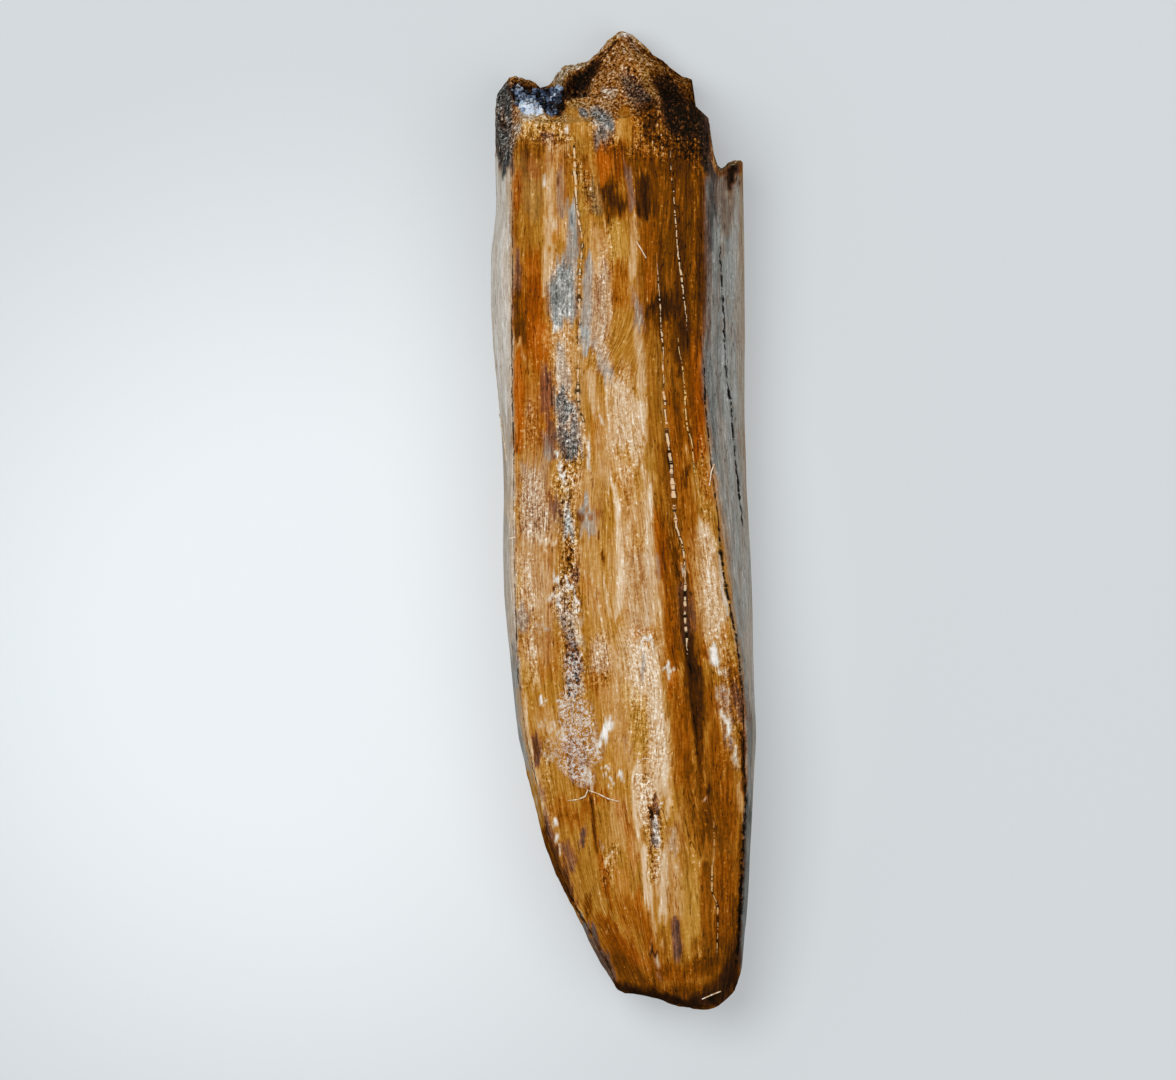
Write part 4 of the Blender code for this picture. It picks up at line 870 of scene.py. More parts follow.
# How crystals vary in size and in tone, how far they stand out, and their own proportions
CRYSTAL_SIZE_FROM = 0.6
CRYSTAL_SIZE_SPREAD = 0.8
CRYSTAL_TONE_SPREAD = 0.5
CRYSTAL_TONE_DROP = 0.34
CRYSTAL_LIFT = 0.3
CRYSTAL_ROOT, CRYSTAL_GIRTH, CRYSTAL_POINT = 0.9, 0.75, 1.2
CRYSTAL_SIDES = 6

# The noise that the tooth's finish is made of: what it lies on, its stretch along each axis, and its scale,
# detail, roughness and twist. The flow runs along the tooth in millimetres, and the place is in metres.
FIELDS = {
    "fibre_fine": ("flow", (15.0, 1.1, 15.0), 1.0, 3.0, 0.6, 0.0),
    "fibre_wide": ("flow", (6.0, 0.35, 6.0), 1.0, 3.0, 0.6, 0.0),
    "fibre_sharp": ("flow", (30.0, 2.4, 30.0), 1.0, 2.0, 0.6, 0.0),
    "hair": ("flow", (9.0, 0.5, 9.0), 1.0, 2.0, 0.6, 0.0),
    "dashes": ("flow", (0.5, 3.2, 0.5), 1.0, 3.0, 0.6, 0.0),
    "ticks": ("flow", (0.5, 7.0, 0.5), 1.0, 2.0, 0.6, 0.0),
    "speck": ("place", (1.0, 1.0, 1.0), 11000.0, 3.0, 0.65, 0.0),
    "crumbs": ("place", (1.0, 0.7, 1.0), 15000.0, 1.0, 0.5, 0.0),
    "dust": ("place", (1.0, 1.0, 1.0), 26000.0, 2.0, 0.6, 0.0),
    "worms": ("place", (1.0, 0.6, 1.0), 9000.0, 2.0, 0.5, 1.2),
    "curls": ("place", (1.0, 1.0, 1.0), 6500.0, 3.0, 0.6, 1.6),
}
# How far each of them makes the tone stray: on plain places, and how much more where it is grainy
STRAYS = {"fibre_fine": (0.4, 0.25), "fibre_sharp": (0.2, 0.4), "fibre_wide": (0.24, 0.0),
          "speck": (0.2, 0.25), "dust": (0.06, 0.3)}
# Thin lines in a field: the value that they follow, and where their edges start and end on each side of it
DARK_HAIR = (0.5, 0.0, 0.02)
PALE_HAIR = (0.4, 0.0, 0.016)
PALE_WORM = (0.47, 0.01, 0.04)
DARK_WORM = (0.56, 0.008, 0.035)
CURL = (0.5, 0.01, 0.05)

# The ramps of the finish, from dark to light, by the tone at which each colour of the palette stands
WARM = ((0.06, "pitch"), (0.17, "umber"), (0.29, "brown"), (0.37, "amber"), (0.45, "honey"),
        (0.53, "fawn"), (0.62, "tan"), (0.75, "cream"), (0.92, "ivory"))
GOLDEN = ((0.08, "pitch"), (0.27, "olive"), (0.45, "ochre"), (0.57, "gold"), (0.74, "straw"), (0.92, "ivory"))
REDDISH = ((0.08, "pitch"), (0.2, "maroon"), (0.31, "rust"), (0.43, "orange"), (0.56, "apricot"),
           (0.75, "peach"))
GREYISH = ((0.06, "soot"), (0.3, "slate"), (0.5, "ash"), (0.7, "pearl"), (0.92, "chalk"))
GLASSY = ((0.1, "night"), (0.3, "steel"), (0.5, "frost"), (0.8, "ice"))
CLOUDY = ((0.4, "tan"), (0.6, "ivory"))
# Painted shade: deep pits of the break turn this near black
PAINTED_HOLLOW_SHADE = (0.004, 0.005, 0.007, 1.0)

# The stage in metres: its floor, the pool of light on it, its lamps and what the camera takes in
FLOOR_HALF = 0.6
FLOOR_DROP = 0.00002
POOL_MIDDLE = (-0.0088, -0.0035, 0.0)
POOL_EDGE = (0.004, 0.0172)
SKY_COLOUR = (0.96, 0.98, 1.0, 1.0)
GLOW_COLOUR = (0.95, 0.98, 1.0, 1.0)
KEY_PLACE, KEY_SIZE = (-0.075, 0.045, 0.26), 0.15
FILL_PLACE, FILL_SIZE = (0.09, -0.03, 0.25), 0.16
SENSOR_WIDTH = 36.0
FOCUS_HEIGHT = 0.003
VIEW_RANGE = (0.001, 5.0)


def tint(red, green, blue):
    """A display colour, 0 to 255 a channel, as the linear colour that a shader takes."""
    channels = []
    for value in (red, green, blue):
        share = value / 255
        channels.append(share / 12.92 if share <= 0.04045 else ((share + 0.055) / 1.055) ** 2.4)
    return tuple(channels)


def colour(name, words, default):
    """A colour that the panel shows, with its name and description."""
    return bpy.props.FloatVectorProperty(
        name=name, description=words, default=default, size=3, min=0.0, max=1.0, subtype="COLOR")


class ToothPalette(bpy.types.PropertyGroup):
    """The colours that the fossil's minerals have given it, and those that paint its sheen and shade."""
    pitch: colour("Pitch", "Open cracks and the darkest stains", tint(20, 15, 9))
    umber: colour("Umber", "Dark brown stains", tint(68, 36, 12))
    brown: colour("Brown", "Brown enamel", tint(108, 58, 4))
    amber: colour("Amber", "Deep amber enamel", tint(146, 77, 8))
    honey: colour("Honey", "Clear amber enamel", tint(169, 103, 24))
    fawn: colour("Fawn", "Dull light brown", tint(187, 130, 54))
    tan: colour("Tan", "Dull pale bands and patches", tint(202, 156, 98))
    # Cream also paints highlights along ridges, as well as pale lines
    cream: colour("Cream", "Thin pale lines and worn edges", tint(222, 190, 150))
    ivory: colour("Ivory", "Palest worn enamel", tint(246, 234, 214))
    olive: colour("Olive", "Dark yellow-brown", tint(92, 64, 18))
    ochre: colour("Ochre", "Yellow-brown enamel", tint(160, 113, 34))
    gold: colour("Gold", "Golden enamel", tint(190, 141, 60))
    straw: colour("Straw", "Pale yellow enamel", tint(222, 184, 118))
    maroon: colour("Maroon", "Dark red stains", tint(80, 38, 20))
    rust: colour("Rust", "Red-brown stains", tint(124, 56, 2))
    orange: colour("Orange", "Clear orange enamel", tint(174, 84, 2))
    apricot: colour("Apricot", "Light orange enamel", tint(204, 132, 58))
    peach: colour("Peach", "Pale orange enamel", tint(226, 172, 110))
    soot: colour("Soot", "Grey-black stains", tint(24, 23, 20))
    slate: colour("Slate", "Dark grey patches", tint(79, 79, 76))
    # Ash and pearl also paint the reflection of the pale floor on the steep flanks
    ash: colour("Ash", "Grey streaks and sides", tint(135, 136, 131))
    pearl: colour("Pearl", "Pale grey sides", tint(190, 188, 182))
    chalk: colour("Chalk", "White mineral powder", tint(242, 238, 234))
    night: colour("Night", "Darkest crystals", tint(12, 13, 18))
    steel: colour("Steel", "Dark bluish crystals", tint(64, 80, 108))
    frost: colour("Frost", "Light bluish crystals", tint(158, 182, 212))
    ice: colour("Ice", "Palest crystals", tint(222, 232, 244))


class ToothSizes(bpy.types.PropertyGroup):
    """The sizes of the small things on the tooth."""
    crystal: bpy.props.FloatProperty(
        name="Crystal size", description="Half length of a middling crystal of the crust",
        default=0.000075, min=0.0, soft_max=0.001, precision=6, unit="LENGTH")
    fibre_radius: bpy.props.FloatProperty(
        name="Fibre radius", description="Radius of the loose fibres and the scratch",
        default=0.000018, min=0.0, soft_max=0.001, precision=6, unit="LENGTH")


class StageLook(bpy.types.PropertyGroup):
    """The plain floor, the soft light and the camera."""
    floor: colour("Floor", "Plain pale floor in the pool of light beside the tooth", tint(190, 196, 199))
    floor_far: colour("Far floor", "Plain pale floor away from that pool of light", tint(155, 161, 164))
    floor_glow: bpy.props.FloatProperty(
        name="Floor glow", description="Light that comes through the floor, as on a light table",
        default=0.33, min=0.0, max=2.0)
    camera_height: bpy.props.FloatProperty(
        name="Camera height", description="How far above the floor the camera looks down from",
        default=0.8, min=0.1, max=2.0, unit="LENGTH")
    key_power: bpy.props.FloatProperty(
        name="Key light", description="Power of the large soft light",
        default=0.48, min=0.0, max=10.0, unit="POWER")
    fill_power: bpy.props.FloatProperty(
        name="Fill light", description="Power of the light from the other side",
        default=0.19, min=0.0, max=10.0, unit="POWER")
    sky: bpy.props.FloatProperty(
        name="Sky", description="Even light from all round", default=0.24, min=0.0, max=5.0)


def smooth(points):
    """A smooth line through given points, as a function."""
    knots = np.array([point[0] for point in points])
    values = np.array([point[1] for point in points])
    slopes = np.gradient(values, knots)

    def line(at):
        at = np.clip(at, knots[0], knots[-1])
        cell = np.clip(np.searchsorted(knots, at) - 1, 0, len(knots) - 2)
        span = knots[cell + 1] - knots[cell]
        t = (at - knots[cell]) / span
        start = (1 + 2 * t) * (1 - t) ** 2 * values[cell] + t * (1 - t) ** 2 * span * slopes[cell]
        end = t * t * (3 - 2 * t) * values[cell + 1] + t * t * (t - 1) * span * slopes[cell + 1]
        return start + end
    return line


def straight(points):
    """A broken line through given points, as a function."""
    knots = [point[0] for point in points]
    values = [point[1] for point in points]
    return lambda at: np.interp(at, knots, values)


def step(low, high, value):
    """A smooth step from 0 at low to 1 at high."""
    t = np.clip((value - low) / (high - low), 0.0, 1.0)
    return t * t * (3 - 2 * t)


def across(share):
    """Millimetres to the right of the middle, from a share of the width."""
    return (share - 0.5) * WIDTH


def across_share(x):
    """The share of the width at a place in millimetres."""
    return x / WIDTH + 0.5


def along(share):
    """Millimetres towards the base from the middle, from a share of the length."""
    return (share - 0.5) * LENGTH


def ripple(x, y, z, size):
    """Even noise between about -1 and 1, of lumps of a given size in millimetres."""
    shape = np.shape(x)
    spots = np.stack([np.ravel(x), np.ravel(y), np.ravel(z)], axis=1) / size
    values = [noise.noise(Vector(spot)) for spot in spots]
    return np.array(values).reshape(shape)


def mottle(x, y, size_x, size_y, seed):
    """Quick even noise between -1 and 1 on a plane, with its own size each way."""
    u, v = x / size_x + 17.3 * seed, y / size_y + 5.7 * seed
    column, row = np.floor(u), np.floor(v)
    s, t = u - column, v - row
    s, t = s * s * (3 - 2 * s), t * t * (3 - 2 * t)

    def corner(i, j):
        value = (column + i) * SCATTER[0] + (row + j) * SCATTER[1] + seed * SCATTER[2]
        value = np.sin(value) * SCATTER_SCALE
        return 2 * (value - np.floor(value)) - 1
    low = corner(0, 0) * (1 - s) + corner(1, 0) * s
    high = corner(0, 1) * (1 - s) + corner(1, 1) * s
    return low * (1 - t) + high * t


def mottles(x, y, layers):
    """Layers of quick noise added up, each with its strength, its two sizes and its seed."""
    return sum(strength * mottle(x, y, size_x, size_y, seed) for strength, size_x, size_y, seed in layers)


left_edge, right_edge = smooth(LEFT_EDGE), smooth(RIGHT_EDGE)
left_shoulder, right_shoulder = smooth(LEFT_SHOULDER), smooth(RIGHT_SHOULDER)
serrated_line, pale_ridge, long_crack = smooth(SERRATED_LINE), smooth(PALE_RIDGE), smooth(LONG_CRACK)
crest_height, widest_height = smooth(CREST_HEIGHT), smooth(WIDEST_HEIGHT)
underside_height = smooth(UNDERSIDE_HEIGHT)
left_drop, right_drop = smooth(LEFT_SHOULDER_DROP), smooth(RIGHT_SHOULDER_DROP)
break_front, break_rear = straight(BREAK_FRONT), straight(BREAK_REAR)
worn_tip = smooth(WORN_TIP)


def bead_relief(x, share):
    """Height of the serrated ridge and its beads above the face."""
    offset = x - across(serrated_line(share))
    ridge = np.exp(-(offset / BEAD_HALF_WIDTH) ** 2)
    beads = 0.5 - 0.5 * np.cos(2 * math.pi * (along(share) - BEAD_START) / BEAD_PITCH)
    worn = step(BEAD_RANGE[0], BEAD_RANGE[0] + BEADS_FADE_IN, share)
    worn = worn * (1 - step(BEAD_RANGE[1], BEAD_RANGE[1] + BEADS_FADE_OUT, share))
    return BEAD_HEIGHT * ridge * (HEIGHT_BETWEEN_BEADS + (1 - HEIGHT_BETWEEN_BEADS) * beads) * worn


def crack_relief(x, share):
    """Depth of the long crack down the right of the face."""
    offset = x - across(long_crack(share))
    groove = np.exp(-(offset / CRACK_HALF_WIDTH) ** 2)
    present = step(CRACK_RANGE[0], CRACK_RANGE[0] + CRACK_FADE_IN, share)
    present = present * (1 - step(CRACK_RANGE[1] - CRACK_FADE_OUT, CRACK_RANGE[1], share))
    return -CRACK_DEPTH * groove * present


def crust_relief(x, share):
    """Height of the rough mineral crust that fills the worn end of the serrated line."""
    offset = x - across(serrated_line(share))
    band = np.exp(-(offset / CRUST_HALF_WIDTH) ** 4)
    present = step(CRUST_RANGE[0], CRUST_RANGE[0] + CRUST_FADE, share)
    present = present * (1 - step(CRUST_RANGE[1] - CRUST_FADE, CRUST_RANGE[1], share))
    lumps = ripple(x, along(share), np.zeros_like(x), CRUST_LUMP_SIZE)
    return CRUST_HEIGHT * band * present * (CRUST_SHARE_BELOW_LUMPS + lumps)


def face_height(x, share):
    """Height of the front face: a low roof along the pale ridge, with its relief."""
    ridge = across(pale_ridge(share))
    left, right = across(left_shoulder(share)), across(right_shoulder(share))
    down_left = left_drop(share) * np.clip((ridge - x) / (ridge - left), 0, None) ** LEFT_ROOF_POWER
    down_right = right_drop(share) * np.clip((x - ridge) / (right - ridge), 0, None) ** RIGHT_ROOF_POWER
    rows_apart = along(share) * FACE_WAVES_ALONG
    waves = FACE_WAVES * ripple(x * FACE_WAVES_ACROSS, rows_apart, np.zeros_like(x), FACE_WAVE_SIZE)
    height = crest_height(share) - down_left - down_right + waves
    return height + bead_relief(x, share) + crack_relief(x, share) + crust_relief(x, share)


def flank(edge, shoulder, share, climb, power):
    """A side wall, from its widest place (climb 0) up to the shoulder of the face (climb 1)."""
    low = widest_height(share)
    high = face_height(across(shoulder(share)), share)
    angle = 0.5 * math.pi * climb
    out = across(edge(share)) - across(shoulder(share))
    x = across(shoulder(share)) + out * np.cos(angle) ** power
    z = low + (high - low) * np.sin(angle) ** power
    waves = ripple(x, along(share) * FLANK_WAVES_ALONG, z * FLANK_WAVES_UPWARDS, FLANK_WAVE_SIZE)
    return x + np.sign(out) * FACE_WAVES * waves * np.sin(2 * angle), z


def underside(share, turn):
    """The rounded back, from the right side (turn 0) to the left side (turn 1)."""
    middle = 0.5 * (across(left_edge(share)) + across(right_edge(share)))
    half = 0.5 * (across(right_edge(share)) - across(left_edge(share)))
    angle = math.pi * turn
    reach = np.abs(np.cos(angle)) ** UNDERSIDE_POWER * np.sign(np.cos(angle))
    drop = np.sin(angle) ** UNDERSIDE_POWER
    low = widest_height(share)
    ridge = REAR_RIDGE_HEIGHT * np.exp(-((turn - REAR_RIDGE_PLACE) / REAR_RIDGE_HALF_WIDTH) ** 2)
    ridge = ridge * step(*REAR_RIDGE_START, share)
    x = middle + (half + ridge) * reach
    z = low - (low - underside_height(share) + ridge) * drop
    return x, np.maximum(z, 0.0)


def wall(around, share):
    """A point of the outer wall: eight stretches around, share of the length along."""
    stretch, part = np.divmod(around, 1.0)
    guides = [left_shoulder, serrated_line, pale_ridge, long_crack, right_shoulder]
    places = [across(guide(share)) for guide in guides]
    x_left, z_left = flank(left_edge, left_shoulder, share, np.clip(part, 0, 1), LEFT_FLANK_POWER)
    x_right, z_right = flank(right_edge, right_shoulder, share, 1 - part, RIGHT_FLANK_POWER)
    x_face = np.zeros_like(share)
    for index, (first, second) in enumerate(zip(places, places[1:])):
        x_face = np.where(stretch == FACE_FROM + index, first + (second - first) * part, x_face)
    z_face = face_height(x_face, share)
    x_under, z_under = underside(share, np.where(stretch == LEFT_UNDERSIDE, 0.5 + part / 2, part / 2))
    kinds = [stretch < FACE_FROM, stretch < RIGHT_FLANK_FROM, stretch < UNDERSIDE_FROM]
    x = np.select(kinds, [x_left, x_face, x_right], x_under)
    z = np.select(kinds, [z_left, z_face, z_right], z_under)
    return x, z


def pit_sink(x, z):
    """How deep the pits in the break are at a place of the cross-section."""
    sink = np.zeros_like(x)
    for pit_place, pit_z, half_x, half_z, pit_depth in PITS:
        away = np.hypot((x - across(pit_place)) / half_x, (z - pit_z) / half_z)
        sink = np.maximum(sink, pit_depth * (1 - step(*PIT_SLOPE, away)))
    return sink


def break_share(x, z):
    """How far along the broken base stands at a place of the cross-section."""
    place = across_share(x)
    crest = crest_height(BREAK_PLACE)
    deep = np.clip((crest - FRONT_LIP_DROP - z) / (crest - REAR_RIM_HEIGHT), 0, 1)
    share = break_front(place) + (break_rear(place) - break_front(place)) * deep
    sink = pit_sink(x, z)
    flat = np.zeros_like(x)
    spots = ((x, flat, z), (x, z, flat + 1), (x, z, flat + 2))
    grain = flat
    for spot, size, part in zip(spots, BREAK_GRAIN_SIZES, BREAK_GRAIN_SHARES):
        grain = grain + part * ripple(*spot, size)
    grain = grain * (1 - step(*SMOOTH_PIT_DEPTHS, sink))
    return share + (BREAK_GRAIN * grain - sink) / LENGTH


def tip_share(x, z):
    """How far along the worn tip stands at a place of the cross-section."""
    half = 0.5 * (crest_height(TIP_PLACE) - underside_height(TIP_PLACE))
    edge = np.clip(np.abs(z - TIP_MIDDLE[1]) / half, 0, 1)
    grain = TIP_GRAIN * ripple(x, np.zeros_like(x), z, TIP_GRAIN_SIZE)
    return worn_tip(across_share(x)) + (TIP_EDGE_ROUNDING * edge ** TIP_EDGE_POWER + grain) / LENGTH


def columns():
    """Places around the wall, closer together beside the ridge, the crack and the steps of the rim."""
    places = []
    for index, count in enumerate(COLUMNS):
        parts = np.arange(count) / count
        if FACE_FROM <= index < RIGHT_FLANK_FROM:
            parts = parts - COLUMN_CROWDING * np.sin(2 * math.pi * parts) / (2 * math.pi)
        places.extend(index + parts)
    for step_place in RIM_STEPS:
        for nearby in COLUMNS_BESIDE_RIM_STEP:
            places.append(rim_column(step_place + nearby * RIM_STEP_WIDTH))
    return np.sort(places)


def rim_column(place):
    """The place around the underside that stands at a share of the width, near the base."""
    turns = np.linspace(0.0, 1.0, 2001)
    x, _ = underside(BASE_FIRST_GUESS, turns)
    return UNDERSIDE_FROM + 2 * np.interp(-across(place), -x, turns)


def end_places(around, guess, end_share):
    """Where each column of the wall meets an end, closed in on by halves."""
    share = np.full_like(around, guess)
    for _ in range(MEETING_STEPS):
        x, z = wall(around, share)
        share = 0.5 * (share + end_share(x, z))
    return share


def rows(around):
    """The share of the length of every row, for each column."""
    tip = end_places(around, TIP_FIRST_GUESS, tip_share)
    base = end_places(around, BASE_FIRST_GUESS, break_share)
    middle = np.linspace(FIXED_ROWS_FROM, FIXED_ROWS_TO, MIDDLE_ROWS)
    low = (np.arange(TIP_ROWS) / TIP_ROWS) ** TIP_ROW_CROWDING
    high = np.arange(1, BASE_ROWS + 1) / BASE_ROWS
    shares = [tip + (middle[0] - tip) * part for part in low]
    shares += [np.full_like(around, place) for place in middle]
    shares += [middle[-1] + (base - middle[-1]) * part for part in high]
    return np.array(shares)


def end_ring(x, z, end_share):
    """A ring of points on one of the two ends."""
    return np.stack([x, along(end_share(x, z)), z], axis=1)


def tip_cap(ring):
    """Rings from the edge of the worn tip in to its middle."""
    centre_x, centre_z = across(TIP_MIDDLE[0]), TIP_MIDDLE[1]
    rings = []
    for number in range(1, TIP_RINGS):
        part = 1 - number / TIP_RINGS
        x = centre_x + (ring[:, 0] - centre_x) * part
        z = centre_z + (ring[:, 2] - centre_z) * part
        rings.append(end_ring(x, z, tip_share))
    return rings, end_ring(np.array([centre_x]), np.array([centre_z]), tip_share)


def beside_steps(x):
    """Places across with those near a step of the rim drawn up to one side of it, so that it stays sharp."""
    for step_place in RIM_STEPS:
        offset = x - across(step_place)
        side = across(step_place) + np.sign(offset) * RIM_STEP_EDGE * RIM_STEP_WIDTH * WIDTH
        x = np.where(np.abs(offset) < RIM_STEP_REACH, side, x)
    return x


def break_cap(ring):
    """Rings from the edge of the break in to the rim of the pulp pit, and rings inside it."""
    place, centre_z, half_x, half_z, _ = PULP_HOLLOW
    centre_x = across(place)
    turn = np.arctan2((ring[:, 2] - centre_z) / half_z, (ring[:, 0] - centre_x) / half_x)
    rim_x, rim_z = half_x * np.cos(turn), half_z * np.sin(turn)
    outer = []
    for number in range(1, BREAK_RINGS):
        part = number / BREAK_RINGS
        x = ring[:, 0] + (centre_x + rim_x - ring[:, 0]) * part
        z = ring[:, 2] + (centre_z + rim_z - ring[:, 2]) * part
        outer.append(end_ring(beside_steps(x), z, break_share))
    inner = []
    for number in range(PULP_RINGS):
        part = 1 - number / PULP_RINGS
        inner.append(end_ring(centre_x + rim_x * part, centre_z + rim_z * part, break_share))
    return outer, inner, end_ring(np.array([centre_x]), np.array([centre_z]), break_share)


def rings_to_faces(counts):
    """Faces that join rings of vertices one after another; a ring of one vertex closes an end."""
    faces = []
    start = 0
    for lower, upper in zip(counts, counts[1:]):
        above = start + lower
        total = max(lower, upper)
        for index in range(total):
            after = (index + 1) % total
            if lower == 1:
                faces.append((start, above + after, above + index))
            elif upper == 1:
                faces.append((start + index, start + after, above))
            else:
                faces.append((start + index, start + after, above + after, above + index))
        start = above
    return faces


def mesh_from(name, points, faces):
    """A mesh from points in millimetres."""
    data = bpy.data.meshes.new(name)
    data.from_pydata((np.asarray(points) * METRES).tolist(), [], faces)
    data.validate()
    return data


def joined_mesh(name, shapes):
    """One mesh from several shapes, each with its corners in millimetres and its faces."""
    points, faces = [], []
    for corners, sides in shapes:
        faces += [tuple(len(points) + corner for corner in side) for side in sides]
        points += [tuple(corner) for corner in corners]
    return mesh_from(name, points, faces)


def vertex_normals(data):
    """The normals of a mesh's vertices, one row each."""
    normals = np.zeros(len(data.vertices) * 3, np.float32)
    data.vertices.foreach_get("normal", normals)
    return normals.reshape(-1, 3).astype(float)


def stroke_distance(x, y, points):
    """How many half widths from the middle of a stroke each place lies, and the half width there."""
    away = np.full_like(x, 1e9)
    width = np.ones_like(x)
    for (x0, y0, w0), (x1, y1, w1) in zip(points, points[1:]):
        dx, dy = x1 - x0, y1 - y0
        t = np.clip(((x - x0) * dx + (y - y0) * dy) / (dx * dx + dy * dy + 1e-9), 0, 1)
        half = w0 + (w1 - w0) * t
        distance = np.hypot(x - x0 - dx * t, y - y0 - dy * t) / half
        closer = distance < away
        away = np.where(closer, distance, away)
        width = np.where(closer, half, width)
    return away, width


def stroke_cover(x, y, strength, points, softness=STROKE_SOFTNESS):
    """The places that a stroke reaches, and how strongly it covers each of them."""
    reach = (1 + PATCH_SOFTNESS) * max(point[2] for point in points) + STROKE_MARGIN
    xs, ys = [point[0] for point in points], [point[1] for point in points]
    near = (x > min(xs) - reach) & (x < max(xs) + reach) & (y > min(ys) - reach) & (y < max(ys) + reach)
    away, width = stroke_distance(x[near], y[near], points)
    band = STROKE_BLUR + softness * width
    return near, strength * (1 - step(-band, band, (away - 1) * width))


def painted_look(x, y):
    """How light, how grey and how yellow each place is, from all the strokes in turn."""
    look = np.stack([np.full_like(x, value) for value in STAINS_AND_PAINTED_LIGHT["honey"]])
    patchy = 1 - np.abs(mottles(x, y, STROKE_GAPS))
    for name, strength, *paths in STROKES:
        for points in paths:
            near, cover = stroke_cover(x, y, strength, points)
            for row, value in zip(look, STAINS_AND_PAINTED_LIGHT[name]):
                row[near] += (value - row[near]) * cover * patchy[near]
    return look


def strongest(x, y, strokes):
    """The strongest cover of any of these strokes at each place."""
    whole = np.zeros_like(x)
    for strength, points in strokes:
        near, cover = stroke_cover(x, y, strength, points, PATCH_SOFTNESS)
        whole[near] = np.maximum(whole[near], cover)
    return whole


def line_offset(x, y, points):
    """How many half widths to the side of a thin line each place lies, within its reach."""
    places = [point[1] for point in points]
    middle = np.interp(y, places, [point[0] for point in points])
    half = np.interp(y, places, [point[2] for point in points]) * (1 + mottles(y, y, LINE_WIDTH_CHANGES))
    return np.clip((x - middle) / (LINE_FINENESS * half + LINE_LEAST_HALF_WIDTH), -LINE_REACH, LINE_REACH)


def photo_place(points):
    """Where points of the tooth, in millimetres, appear in the photograph, in pixels."""
    x = MIDDLE_PIXEL[0] + points[:, 0] / MM_PER_PIXEL
    y = MIDDLE_PIXEL[1] - points[:, 1] / MM_PER_PIXEL
    return x, y


def tooth_surface():
    """All vertices of the fine tooth with what each belongs to: its place around, and its end."""
    around = columns()
    rings, turns, ends = [], [], []
    for shares in rows(around):
        x, z = wall(around, shares)
        rings.append(np.stack([x, along(shares), z], axis=1))
    tip_rings, tip_centre = tip_cap(rings[0])
    outer, inner, centre = break_cap(rings[-1])
    ordered = [tip_centre] + tip_rings[::-1] + rings + outer + inner + [centre]
    on_break = len(outer) + len(inner) + 1
    kinds = [TIP_END] * (len(tip_rings) + 1) + [WALL] * len(rings) + [BREAK_END] * on_break
    for ring, kind in zip(ordered, kinds):
        turns.append(around if len(ring) > 1 else around[:1])
        ends.append(np.full(len(ring), kind))
    return ordered, np.concatenate(turns), np.concatenate(ends)


def drifts(x, y, height, turn, end):
    """How far up or down each place takes its stain from, in pixels, so that strokes end in streaks."""
    drift = np.where(end == BREAK_END, mottles(x, y, DRIFT_ON_BREAK), mottles(x, y, DRIFT))
    drift = drift * (1 - DRIFT_LOST_AT_TIP * step(*DRIFT_CALMS, y))
    drift = drift * (DRIFT_BESIDE_BREAK + (1 - DRIFT_BESIDE_BREAK) * step(*DRIFT_GROWS, y))
    flank_part = step(*RIGHT_FLANK_COMES, turn) * (1 - step(*RIGHT_FLANK_FADES, turn))
    flank_part = (flank_part + 1 - step(*LEFT_FLANK_FADES, turn)) * (end == WALL)
    flank_part = flank_part * step(*FLANK_DRIFT_GROWS, y)
    flank_part = flank_part * (1 - FLANK_DRIFT_LOST_AT_TIP * step(*FLANK_DRIFT_CALMS, y))
    return drift + flank_part * mottles(FLANK_PIXELS_PER_MM * height, y, FLANK_DRIFT)


def tooth_looks(points, turn, end):
    """What the finish needs to know at every vertex, by name."""
    x, y = photo_place(points)
    sway, drift = mottles(x, y, SWAY), drifts(x, y, points[:, 2], turn, end)
    hidden = (end == WALL) * step(*BACK_COMES, turn) * (1 - step(*BACK_FADES, turn))
    tone, grey, yellow = painted_look(x + sway, y + drift)
    back_tone = BACK_TONE + mottles(x, y, BACK_TONES)
    back_grey = np.clip(BACK_GREY + mottles(x, y, BACK_GREYS), 0, 1)
    grain = np.maximum(strongest(x + sway, y + GRAIN_DRIFT_SHARE * drift, GRAINS), end == BREAK_END)
    looks = {
        "tone": tone + (back_tone - tone) * hidden,
        "grey": grey + (back_grey - grey) * hidden,
        "yellow": yellow * (1 - hidden),
        "grain": grain * (1 - hidden) * (1 - strongest(x + sway, y, SMOOTHS)),
        "web": strongest(x, y, WEBS) * (1 - hidden),
        "front": (1 - hidden) * (end == WALL),
        # Deep pits of the break, to be painted near black as shade
        "pit": (end == BREAK_END) * step(*SHADED_PIT_DEPTHS, pit_sink(points[:, 0], points[:, 2])),
    }
    for name, line in LINES.items():
        looks["line_" + name] = line_offset(x + mottles(x, y, LINE_NUDGE), y, line)
    return looks


def line_relief(y, looks):
    """Height of the pale cores and depth of the dark sides of the thin lines, in millimetres."""
    height = np.zeros_like(y)
    for name, line in LINES.items():
        off = np.abs(looks["line_" + name])
        top, bottom = line[0][1], line[-1][1]
        seen = step(top, top + LINE_END_FADE, y) * (1 - step(bottom - LINE_END_FADE, bottom, y))
        core = LINE_CORE_HEIGHT * (1 - step(*LINE_CORE_EDGE, off))
        height = height + seen * (core - LINE_SIDE_DEPTH * (1 - step(*LINE_SIDE_EDGE, off)))
    return height * looks["front"]


